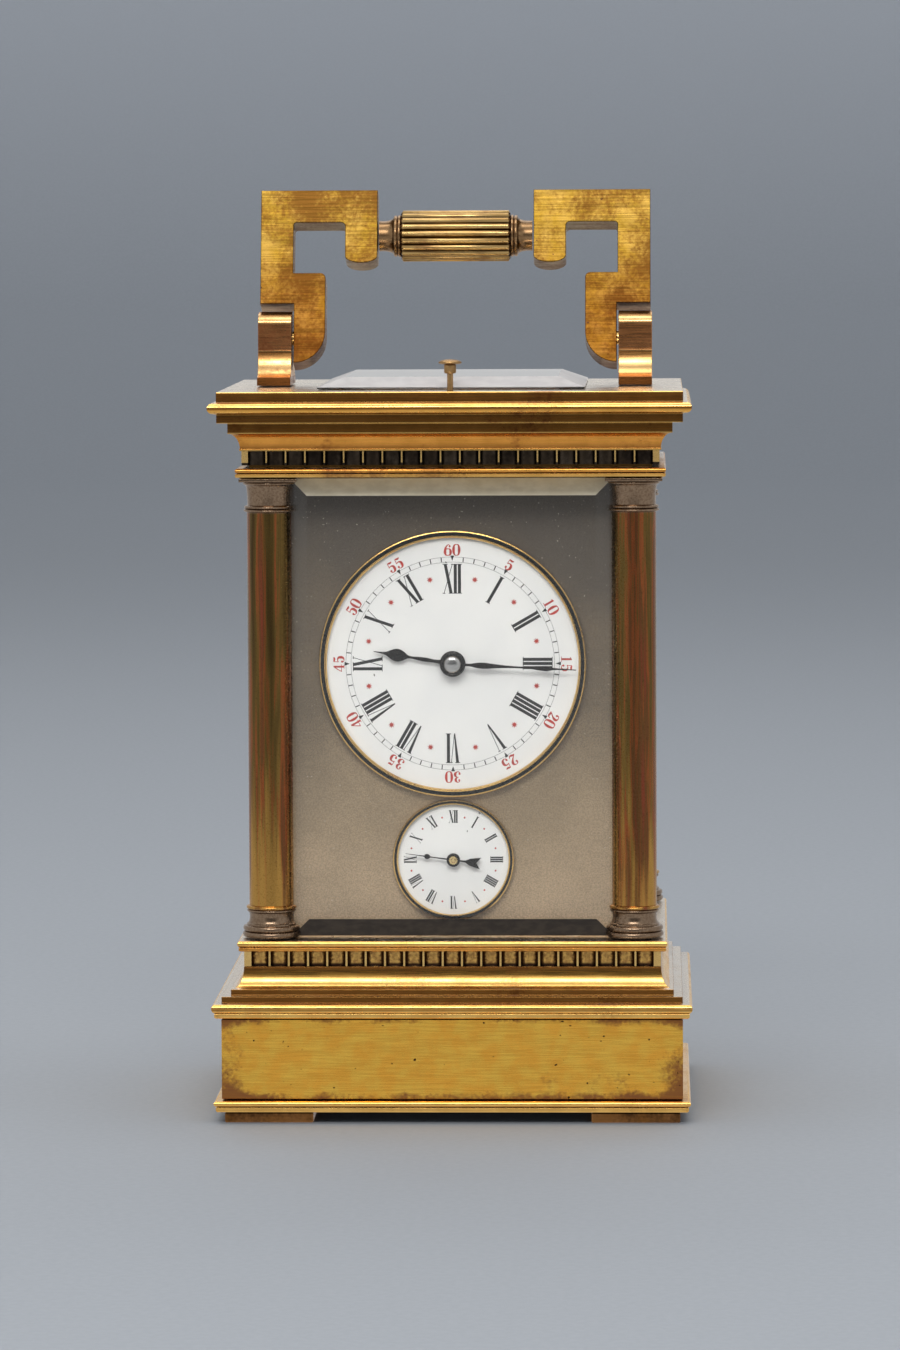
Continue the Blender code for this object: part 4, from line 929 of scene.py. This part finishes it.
def digit_shapes():
    """Digits one unit high and about 0.7 wide, with heavy uprights and hairline joins."""
    def ring(low, high):
        centre, reach = 0.5 * (low + high), 0.5 * (high - low)
        sides = []
        for sign in (-1, 1):
            sides.append(stroke([
                (0.35, high, 0.05), (0.35 + sign * 0.17, high - 0.12 * reach, 0.10),
                (0.35 + sign * 0.245, centre + 0.4 * reach, 0.17), (0.35 + sign * 0.255, centre, 0.19),
                (0.35 + sign * 0.245, centre - 0.4 * reach, 0.17),
                (0.35 + sign * 0.17, low + 0.12 * reach, 0.10), (0.35, low, 0.05),
            ]))
        return sides

    one = [
        [(0.27, 0), (0.45, 0), (0.45, 1.0), (0.27, 0.93)], [(0.12, 0), (0.60, 0), (0.60, 0.05), (0.12, 0.05)]
    ]
    one.append([(0.12, 0.80), (0.28, 0.84), (0.28, 0.93)])
    two = [
        stroke([(0.13, 0.74, 0.1), (0.18, 0.92, 0.07), (0.36, 0.98, 0.06), (0.54, 0.87, 0.15),
        (0.55, 0.68, 0.18),
                (0.40, 0.42, 0.10), (0.18, 0.18, 0.06), (0.08, 0.05, 0.05)]),
        stroke(
            [(0.08, 0.07, 0.06), (0.24, 0.10, 0.14), (0.42, 0.06, 0.14), (0.58, 0.10, 0.07),
            (0.62, 0.26, 0.05)]
        ),
        dot(0.18, 0.73, 0.095),
    ]
    three = [
        stroke([(0.14, 0.80, 0.08), (0.22, 0.95, 0.06), (0.38, 0.97, 0.08), (0.50, 0.84, 0.16),
        (0.50, 0.68, 0.16),
                (0.36, 0.53, 0.06), (0.26, 0.52, 0.05)]),
        stroke([(0.26, 0.53, 0.05), (0.42, 0.50, 0.07), (0.56, 0.36, 0.17), (0.55, 0.18, 0.18),
        (0.40, 0.03, 0.07),
                (0.22, 0.04, 0.06), (0.11, 0.17, 0.08)]),
        dot(0.19, 0.78, 0.085), dot(0.17, 0.21, 0.095),
    ]
    four = [
        [(0.40, 0), (0.57, 0), (0.57, 1.0), (0.40, 0.94)], stroke(
            [(0.50, 0.99, 0.06), (0.24, 0.60, 0.06), (0.05, 0.27, 0.06)]
        ),
        [(0.03, 0.23), (0.68, 0.23), (0.68, 0.285), (0.03, 0.285)], [
            (0.30, 0), (0.67, 0), (0.67, 0.045), (0.30, 0.045)
        ],
    ]
    five = [
        stroke([(0.16, 0.97, 0.05), (0.30, 0.925, 0.13), (0.46, 0.91, 0.13), (0.58, 0.98, 0.05)]),
        stroke([(0.17, 0.97, 0.05), (0.16, 0.75, 0.05), (0.14, 0.52, 0.05)]),
        stroke([(0.14, 0.53, 0.05), (0.32, 0.62, 0.07), (0.53, 0.53, 0.15), (0.57, 0.32, 0.19),
        (0.52, 0.12, 0.15),
                (0.33, 0.02, 0.06), (0.14, 0.10, 0.06)]),
        dot(0.17, 0.20, 0.10),
    ]
    six = ring(0.0, 0.60) + [
        stroke(
            [(0.10, 0.28, 0.17), (0.11, 0.52, 0.17), (0.22, 0.82, 0.10), (0.40, 0.98, 0.05),
            (0.54, 0.88, 0.05)]
        ),
        dot(0.52, 0.82, 0.09),
    ]
    return {"0": ring(0.0, 1.0), "1": one, "2": two, "3": three, "4": four, "5": five, "6": six}


def around(polygons, radius, degrees):
    """Polygons drawn upright, placed with their foot at a radius and their top outwards."""
    angle = math.radians(degrees)
    s, c = math.sin(angle), math.cos(angle)
    return [[(s * (radius + y) + c * x, c * (radius + y) - s * x) for x, y in shape] for shape in polygons]


def ring_print(radius, width):
    half, low, high = 0.5 * width, DIAL_FRONT - 0.02, DIAL_FRONT + 0.02
    profile = [(radius - half, low), (radius + half, low), (radius + half, high), (radius - half, high)]
    return lathe(profile, 120, closed=True)


def star(radius, arms=8):
    outline = []
    for i in range(2 * arms):
        outline.append((radius if i % 2 == 0 else 0.45 * radius, 360.0 * i / (2 * arms)))
    return [(r * math.sin(math.radians(a)), r * math.cos(math.radians(a))) for r, a in outline]


def printed(name, polygons, extra, material, height):
    """Flat enamel printing, a hair proud of the dial."""
    flat = []
    for i, shape in enumerate(polygons):
        area = sum(a[0] * b[1] - b[0] * a[1] for a, b in zip(shape, shape[1:] + shape[:1]))
        shape = shape if area > 0 else shape[::-1]
        flat.append(prism(shape, DIAL_FRONT - 0.02, DIAL_FRONT + 0.02 + 0.0004 * (i % 9)))
    return piece(
        name, together(*flat, *extra), material, "case", (), facing(0, height), smooth=20
    )


ROMAN = ["XII", "I", "II", "III", "IIII", "V", "VI", "VII", "VIII", "IX", "X", "XI"]


def dial_prints():
    black, red = [], []
    for i, text in enumerate(ROMAN):
        black += around(numeral(text, 6.4, 1.0), 15.1, 30.0 * i)
    for i in range(60):
        if i % 5:
            black += around([[(-0.11, 0), (0.11, 0), (0.11, 0.95), (-0.11, 0.95)]], 22.0, 6.0 * i)
        else:
            black += around([[(-0.4, 1.15), (0, 0), (0.4, 1.15)]], 22.15, 6.0 * i)
    digits = digit_shapes()
    for i in range(1, 13):
        text = str(5 * i)
        shapes = []
        for place, kind in enumerate(text):
            shift = (place - 0.5 * len(text)) * 0.78
            shapes += [[((x + shift + 0.03) * 2.35, y * 2.35) for x, y in shape] for shape in digits[kind]]
        red += around(shapes, 23.35, 30.0 * i)
    for i in range(12):
        red += around([star(0.74)], 18.7, 30.0 * i + 15)
    circles = [ring_print(21.9, 0.06), ring_print(23.0, 0.06)]
    printed("main_numerals", black, circles, BLACK_PRINT, MAIN_HEIGHT)
    printed("minute_numbers", red, [], RED_PRINT, MAIN_HEIGHT)

    black, red = [], []
    for i, text in enumerate(ROMAN):
        black += around(numeral(text, 2.75, 0.49), 7.95, 30.0 * i)
    for i in range(12):
        red += around([dot(0, 0, 0.2)], 9.4, 30.0 * i + 15)
    printed("alarm_numerals", black, [], BLACK_PRINT, ALARM_HEIGHT)
    printed("alarm_dots", red, [], RED_PRINT, ALARM_HEIGHT)


def paint_groove_shade(obj, height, inner, outer):
    """Paints shade into a bezel's groove: its faces between two radii take the blackened-steel material."""
    obj.data.materials.append(BLACK)
    for face in obj.data.polygons:
        if inner < math.hypot(face.center.x, face.center.z - height * MM) / MM < outer:
            face.material_index = 1


def dials():
    for which, radius, hole, height in (
        ("main", 27.55, 1.9, MAIN_HEIGHT), ("alarm", 12.35, 0.9, ALARM_HEIGHT)
    ):
        low, high = DIAL_FRONT - 1.2, DIAL_FRONT
        profile = [(hole, low), (radius, low), (radius, high - 0.35)]
        profile += quarter((radius, high - 0.35), (radius - 0.5, high), True, 4)[1:]
        profile += [(hole + 0.3, high), (hole, high - 0.25)]
        made = lathe(profile, 128, closed=True)
        piece(f"{which}_enamel", made, ENAMEL, "case", [f"{which}_dial"], facing(0, height))
    dial_prints()
    low = DIAL_FRONT + 0.3
    profile = [
        (27.1, low), (28.75, low), (28.8, low + 0.9), (28.65, low + 1.12), (28.4, low + 1.15),
        (28.3, low + 0.95)
    ]
    profile += [
        (28.2, low + 0.35), (27.95, low + 0.3), (27.8, low + 0.75), (27.6, low + 0.95), (27.35, low + 0.8)
    ]
    profile += [(27.1, low + 0.3)]
    place = facing(0, MAIN_HEIGHT)
    obj = piece(
        "main_rim", lathe(profile, 160, closed=True), RIM, "case", ["main_bezel"], place,
        smooth=50
    )
    paint_groove_shade(obj, MAIN_HEIGHT, 27.82, 28.35)
    profile = [
        (11.9, low), (13.05, low), (13.1, low + 0.6), (13.0, low + 0.82), (12.75, low + 0.86),
        (12.6, low + 0.65)
    ]
    profile += [
        (12.5, low + 0.35), (12.35, low + 0.35), (12.25, low + 0.6), (12.05, low + 0.6), (11.9, low + 0.25)
    ]
    place = facing(0, ALARM_HEIGHT)
    obj = piece(
        "alarm_rim", lathe(profile, 120, closed=True), RIM, "case", ["alarm_bezel"], place,
        smooth=50
    )
    paint_groove_shade(obj, ALARM_HEIGHT, 12.3, 12.68)
    dress("dial_mask", MASK)


def smooth_half(points, steps=7):
    """(distance, half width) points, smoothed."""
    made = []
    count = len(points)
    for i in range(count - 1):
        a, b, c, d = points[max(i - 1, 0)], points[i], points[i + 1], points[min(i + 2, count - 1)]
        for step in range(steps + (i == count - 2)):
            t = step / steps
            values = [
                0.5 * (
                    (2 * q) + (s - p) * t + (2 * p - 5 * q + 4 * s - u) * t * t + (3 * q - p - 3 * s + u) * t**3
                )
                for p, q, s, u in zip(a, b, c, d)
            ]
            made.append((values[0], max(values[1], 0.03)))
    return made


def hand_outline(shape, boss, tail=()):
    """A hand pointing right: its blade, its round boss and its tail."""
    def side(points):
        upper = smooth_half(points)
        return upper + [(x, -y) for x, y in upper[::-1]]

    root = math.degrees(math.asin(shape[0][1] / boss))
    outline = side(shape)
    if tail:
        tail_root = math.degrees(math.asin(tail[0][1] / boss))
        arc = 180 - root - tail_root
        outline += circle(boss, 10, start=-root, sweep=-arc)[1:-1]
        outline += [(-x, -y) for x, y in blade_corners(tail)]
        outline += circle(boss, 10, start=180 - tail_root, sweep=-arc)[1:-1]
    else:
        outline += circle(boss, 30, start=-root, sweep=2 * root - 360)[1:-1]
    return outline


def blade_corners(points):
    return [*points, *[(x, -y) for x, y in points[::-1] if y]]


def hands():
    lance = [(2.55, 0.30), (3.8, 0.30), (5.2, 0.55), (6.6, 0.66), (8.6, 0.50), (11.5, 0.28), (14.5, 0.20)]
    lance += [(17.0, 0.26), (19.2, 0.50), (20.4, 0.52), (21.6, 0.28), (23.2, 0.16), (26.6, 0.10)]
    made = plate([hand_outline(lance, 2.6), circle(1.25, 32)], 28.6, 29.0, 0.09)
    piece(
        "minute_pointer", made, BLACK, "minute", ["minute_hand"],
        facing(0, MAIN_HEIGHT, 2.8)
    )
    pear = [
        (2.75, 0.42), (4.2, 0.34), (5.6, 0.44), (6.8, 0.42), (8.6, 0.26), (9.7, 0.34), (10.6, 0.9),
        (11.6, 1.32)
    ]
    pear += [(12.6, 1.30), (13.6, 0.85), (14.6, 0.36), (15.7, 0.18), (17.2, 0.07)]
    made = plate([hand_outline(pear, 2.8), circle(1.85, 32)], 27.7, 28.1, 0.09)
    piece(
        "hour_pointer", made, BLACK, "hour", ["hour_hand"],
        facing(0, MAIN_HEIGHT, 9.1 - 180)
    )
    pointer = [
        (1.42, 0.17), (3.0, 0.13), (4.9, 0.12), (5.25, 0.38), (5.75, 0.56), (6.25, 0.38), (6.6, 0.12),
        (10.4, 0.05)
    ]
    swallow = [(1.4, 0.16), (2.6, 0.22), (3.6, 0.75), (5.9, 1.25), (5.0, 0.0)]
    made = plate([hand_outline(pointer, 1.47, swallow), circle(0.75, 24)], 27.8, 28.2, 0.05)
    piece(
        "alarm_pointer", made, BLACK, "alarm", ["alarm_hand"],
        facing(0, ALARM_HEIGHT, 7.6 - 180)
    )

    collar = [(1.9, 28.95), (2.6, 28.95), (2.62, 29.25), (2.5, 29.5), (2.25, 29.6), (2.0, 29.45), (1.9, 29.3)]
    piece(
        "collet_ring", lathe(collar, 64, closed=True), BLACK, "minute", (), facing(0, MAIN_HEIGHT),
        smooth=60
    )
    dome = [(0, 29.1), (1.88, 29.1), (1.88, 29.4)] + quarter((1.88, 29.5), (0, 30.25), True, 10)
    piece("collet_dome", lathe(dome, 64), STEEL, "minute", ["hand_collet"], facing(0, MAIN_HEIGHT))
    collar = [(0.8, 28.1), (1.45, 28.1), (1.45, 28.4), (1.3, 28.6), (1.05, 28.6), (0.8, 28.3)]
    piece(
        "alarm_collar", lathe(collar, 40, closed=True), BLACK, "alarm", (),
        facing(0, ALARM_HEIGHT), smooth=60
    )
    cap = [(0, 28.15), (0.95, 28.15), (0.95, 28.6)] + quarter((0.95, 28.65), (0, 29.05), True, 6)
    piece("alarm_cap", lathe(cap, 40), COPPER, "alarm", (), facing(0, ALARM_HEIGHT))


# The movement.


def screw_head(radius, rise):
    head = [(0, 0), (radius, 0), (radius, rise - 0.15), (radius - 0.15, rise)]
    half = 0.17 * radius
    return together(
        lathe([*head, (0, rise)], 28), moved(
            block((-half, -radius * 0.9, rise - 0.02), (half, radius * 0.9, rise + 0.03)), Matrix()
        )
    )


def movement():
    for node in ("front_plate", "back_plate", "platform", "balance_cock"):
        dress(node, MOVEMENT, 0.15)
    for node in ("going_barrel", "strike_barrel", "centre_wheel", "third_wheel", "contrate_wheel",
        "strike_wheel",
                 "minute_wheel", "hour_wheel", "alarm_arbor", "balance_wheel"):
        dress(node, MOVEMENT)
    for node in (
        "cannon_pinion", "going_winding_arbor", "strike_winding_arbor", "escape_wheel", "pallet_lever", "fly",
        "hammer"
    ):
        dress(node, STEEL)

    heads = []
    for x in (-26, 26):
        for height in (46, 112):
            heads.append(moved(screw_head(2.2, 0.9), turned_by((x, 19.0, height), (-90, 0, 0))))
    for x, height in ((-8, 60), (-22, 75), (8, 114), (-8, 114), (22, 72)):
        heads.append(moved(screw_head(1.2, 0.6), turned_by((x, 19.0, height), (-90, 30, 0))))
    for x, y in ((-17, -15), (17, -15), (-17, 15), (17, 15)):
        heads.append(moved(screw_head(1.3, 0.6), turned_by((x, y, 120.3), (0, 0, 35))))
    heads.append(moved(screw_head(1.3, 0.6), turned_by((-5.9, 12.6, 129.0), (0, 0, 20))))
    piece("blued_screws", together(*heads), BLUED, "case")

    rings = []
    for name in (
        "going_barrel_spin", "strike_barrel_spin", "centre_spin", "strike_wheel_spin", "fly_spin",
        "contrate_spin", "third_spin"
    ):
        x, _, height = joint_at[name]
        inner = 1.95 if "barrel" in name else 1.0
        outer = 5.5 if "barrel" in name else 1.9
        profile = [
            (inner, 18.9), (outer, 18.9), (outer, 19.15), (outer - 0.2, 19.3), (inner + 0.15, 19.3),
            (inner, 19.15)
        ]
        rings.append(moved(lathe(profile, 48, closed=True), turned_by((x, 0, height), (-90, 0, 0))))
    piece("arbor_seats", together(*rings), RIM, "case")

    x, y, _ = joint_at["balance_swing"]
    turns, steps = 9, 48
    curve = bpy.data.curves.new("hairspring", "CURVE")
    curve.dimensions = "3D"
    curve.bevel_depth = 0.06
    curve.bevel_resolution = 1
    curve.use_fill_caps = True
    spline = curve.splines.new("POLY")
    spline.points.add(turns * steps)
    for i, point in enumerate(spline.points):
        radius, angle = 0.7 + 3.6 * i / (turns * steps), 2 * math.pi * i / steps
        point.co = (x + radius * math.cos(angle), y + radius * math.sin(angle), 126.3, 1)
    piece("hairspring", from_curve(curve), BLUED, "balance")
    weights = []
    for i in range(12):
        a = math.radians(30 * i + 15)
        screw = lathe([(0, 0), (0.35, 0), (0.35, 0.2), (0.6, 0.2), (0.6, 0.75), (0, 0.75)], 16)
        at = (x + 7.2 * math.cos(a), y + 7.2 * math.sin(a), 125.05)
        weights.append(
            moved(
                screw, Matrix.Translation(at) @ Matrix.Rotation(a, 4, "Z") @ Matrix.Rotation(math.pi / 2, 4,
                "Y")
            )
        )
    piece("balance_screws", together(*weights), RIM, "balance")
    jewels = [
        moved(lathe([(0, 0), (0.9, 0), (0.9, 0.2), (0.7, 0.32), (0, 0.25)], 28), turned_by((x, y, 129.0)))
    ]
    piece("cock_jewel", together(*jewels), RUBY, "case")
    seat = [(0.95, 0), (1.9, 0), (1.9, 0.25), (1.7, 0.4), (1.1, 0.4), (0.95, 0.25)]
    piece("jewel_seat", lathe(seat, 40, closed=True), STEEL, "case", (), turned_by((x, y, 129.0)))


def gong():
    centre, outer, inner, turns, steps = (0.0, 80.0), 28.6, 22.0, 3, 96
    curve = bpy.data.curves.new("gong", "CURVE")
    curve.dimensions = "3D"
    curve.bevel_depth = 0.6
    curve.bevel_resolution = 3
    curve.use_fill_caps = True
    spline = curve.splines.new("POLY")
    spline.points.add(turns * steps)
    for i, point in enumerate(spline.points):
        radius, angle = outer + (inner - outer) * i / (turns * steps), math.radians(225.0 + 360.0 * i / steps)
        point.co = (radius * math.cos(angle), radius * math.sin(angle), -24.0, 1)
    coil = from_curve(curve)
    angle = math.radians(225.0)
    x, height = (outer + 1.7) * math.cos(angle), (outer + 1.7) * math.sin(angle)
    profile = [(0, -25.4), (1.9, -25.4), (2.3, -25.1), (2.3, -19.3), (0, -19.3)]
    stud = moved(lathe(profile, 36), turned_by((x, height, 0)))
    piece("gong_coil", together(coil, stud), BLUED, "case", ["gong"], facing(*centre))


def door():
    dress("back_door_frame", DOOR, 0.2)
    knob = [(0, 3.3), (1.3, 3.3), (1.3, 3.6), (0.85, 4.0), (0.8, 4.5)] + quarter((0.8, 4.5), (2.45, 6.3),
        True, 6)[1:]
    knob += quarter((2.45, 6.4), (0, 8.4), True, 8)
    low, high = box_mm("back_door_knob")
    place = (0.5 * (low[0] + high[0]), COLUMN_Y - 1.5, 0.5 * (low[2] + high[2]))
    piece(
        "door_knob", lathe(knob, 48), DOOR, "back_door", ["back_door_knob"],
        turned_by(place, (90, 0, 180))
    )
    for node in ("left_glass", "right_glass", "back_door_glass"):
        dress(node, CLEAR)
    corner, high = box_mm("top_glass")
    low, wide = corner[2], 5.7
    points = [
        (high[0], high[1], low), (high[0], high[1], low + 0.3), (high[0] - wide, high[1] - wide, high[2])
    ]
    obj = piece("top_pane", framed(points, True), CLEAR, "case", ["top_glass"], smooth=5)
    obj.data.shade_flat()
    # The sloping bevel faces get opaque painted light.
    obj.data.materials.append(TOP_BEVEL_PAINTED_LIGHT)
    for face in obj.data.polygons:
        if 0.05 < face.normal.z < 0.97:
            face.material_index = 1
    half, low, high, wide, deep = 34.6, 39.2, 137.7, 3.7, 1.0
    middle_height, half_height = 0.5 * (low + high), 0.5 * (high - low)
    points = [
        (half, half_height, 31.0), (half, half_height, 34.0 - deep), (half - wide, half_height - wide, 34.0)
    ]
    pane = framed(points, True)
    obj = piece(
        "front_pane", pane, CLEAR, "case", ["front_glass"], facing(0, middle_height), smooth=5
    )
    obj.data.shade_flat()
    # The bevel facets get opaque painted light: pale above, dark below.
    obj.data.materials.append(BEVEL_PAINTED_LIGHT)
    for face in obj.data.polygons:
        if 0.05 < abs(face.normal.z) < 0.9:
            face.material_index = 1


case_mouldings()
case_bands()
column_shapes()
posts()
handle()
button()
dials()
hands()
movement()
gong()
door()

# The studio: a pale floor that curves up into a wall on every side, and soft lights.


def stage():
    made = bmesh.new()
    profile = [
        (0.0, 0.0), (1.0, 0.0), (2.0, 0.0), (2.4, 0.02), (2.75, 0.12), (3.0, 0.35), (3.15, 0.8), (3.2, 2.4)
    ]
    rings = []
    for radius, height in profile:
        count = 1 if radius == 0 else 96
        rings.append([
            made.verts.new(
                (radius * math.cos(2 * math.pi * i / 96), radius * math.sin(2 * math.pi * i / 96), height)
            )
            for i in range(count)
        ])
    for first, second in zip(rings, rings[1:]):
        for i in range(96):
            j = (i + 1) % 96
            corners = [first[i % len(first)], second[i], second[j], first[j % len(first)]]
            made.faces.new(list(dict.fromkeys(corners)))
    mesh = bpy.data.meshes.new("studio_floor")
    made.to_mesh(mesh)
    made.free()
    mesh.shade_smooth()
    r = Recipe("pale_floor", metallic=0.0, Roughness=0.75)
    weave = r.blend(r.spread(r.noise(0.6, detail=4.0), 0.3, 0.7), (0.36, 0.385, 0.42), (0.34, 0.365, 0.40))
    rise = r.spread(r.axis("Z"), 0.0, 700.0)
    mesh.materials.append(r.finish(r.blend(rise, weave, (0.80, 0.84, 0.90))))
    floor = bpy.data.objects.new("studio_floor", mesh)
    bpy.context.scene.collection.objects.link(floor)
    floor.visible_glossy = floor.visible_transmission = False


def area_light(name, place, target, size, power, colour=(1.0, 1.0, 1.0)):
    data = bpy.data.lights.new(name, "AREA")
    data.shape = "RECTANGLE"
    data.size, data.size_y = size
    data.energy = power
    data.color = colour
    obj = bpy.data.objects.new(name, data)
    obj.location = place
    obj.rotation_euler = (Vector(target) - Vector(place)).to_track_quat("-Z", "Y").to_euler()
    bpy.context.scene.collection.objects.link(obj)


def world():
    """A white studio that is dark at eye level behind the camera, so that upright metal keeps its depth."""
    made = bpy.data.worlds.new("studio")
    made.use_nodes = True
    tree = made.node_tree
    split = tree.nodes.new("ShaderNodeSeparateXYZ")
    tree.links.new(tree.nodes.new("ShaderNodeTexCoord").outputs["Generated"], split.inputs[0])
    shade = None
    for axis, low, high in (("Y", -0.80, -0.96), ("Z", -0.085, -0.03), ("Z", 0.58, 0.40)):
        part = tree.nodes.new("ShaderNodeMapRange")
        part.interpolation_type = "SMOOTHSTEP"
        part.inputs[1].default_value, part.inputs[2].default_value = low, high
        tree.links.new(split.outputs[axis], part.inputs[0])
        if shade is None:
            shade = part.outputs[0]
        else:
            both = tree.nodes.new("ShaderNodeMath")
            both.operation = "MULTIPLY"
            tree.links.new(shade, both.inputs[0])
            tree.links.new(part.outputs[0], both.inputs[1])
            shade = both.outputs[0]
    colours = tree.nodes.new("ShaderNodeValToRGB")
    colours.color_ramp.elements[0].color = (0.80, 0.81, 0.82, 1.0)
    colours.color_ramp.elements[1].color = (0.13, 0.13, 0.135, 1.0)
    tree.links.new(shade, colours.inputs[0])
    tree.links.new(colours.outputs[0], tree.nodes["Background"].inputs[0])
    tree.nodes["Background"].inputs[1].default_value = 0.75
    bpy.context.scene.world = made


stage()
world()
area_light("overhead", (0.0, -0.05, 1.0), (0.0, -0.05, 0.0), (0.9, 0.4), 2.6, (1.0, 0.985, 0.96))
area_light("front", (-0.1, -1.1, 0.95), (0.0, 0.0, 0.10), (0.9, 0.35), 7.4, (1.0, 0.985, 0.96))
area_light("rear", (0.0, 0.95, 1.05), (0.0, 0.0, 0.15), (1.2, 0.5), 2.6, (1.0, 1.0, 1.0))
bpy.context.scene.view_settings.view_transform = "Standard"


def fit_camera():
    """Seen a little from the right and from above, with the sides nearly parallel."""
    yaw, pitch, roll = (math.radians(a) for a in (-1.93, -4.619, -0.25))
    forward = Vector((math.sin(yaw) * math.cos(pitch), math.cos(yaw) * math.cos(pitch), math.sin(pitch)))
    level = forward.cross(Vector((0, 0, 1))).normalized()
    upright = level.cross(forward)
    right = math.cos(roll) * level + math.sin(roll) * upright
    up = math.cos(roll) * upright - math.sin(roll) * level
    data = bpy.data.cameras.new("camera")
    data.sensor_width, data.lens = 36.0, 159.0
    data.clip_start, data.clip_end = 0.05, 20.0
    camera = bpy.data.objects.new("camera", data)
    turn = Matrix((right, up, -forward)).transposed().to_4x4()
    camera.matrix_world = Matrix.Translation((0.0425, -1.3066, 0.1984)) @ turn
    bpy.context.scene.collection.objects.link(camera)
    bpy.context.scene.camera = camera


fit_camera()
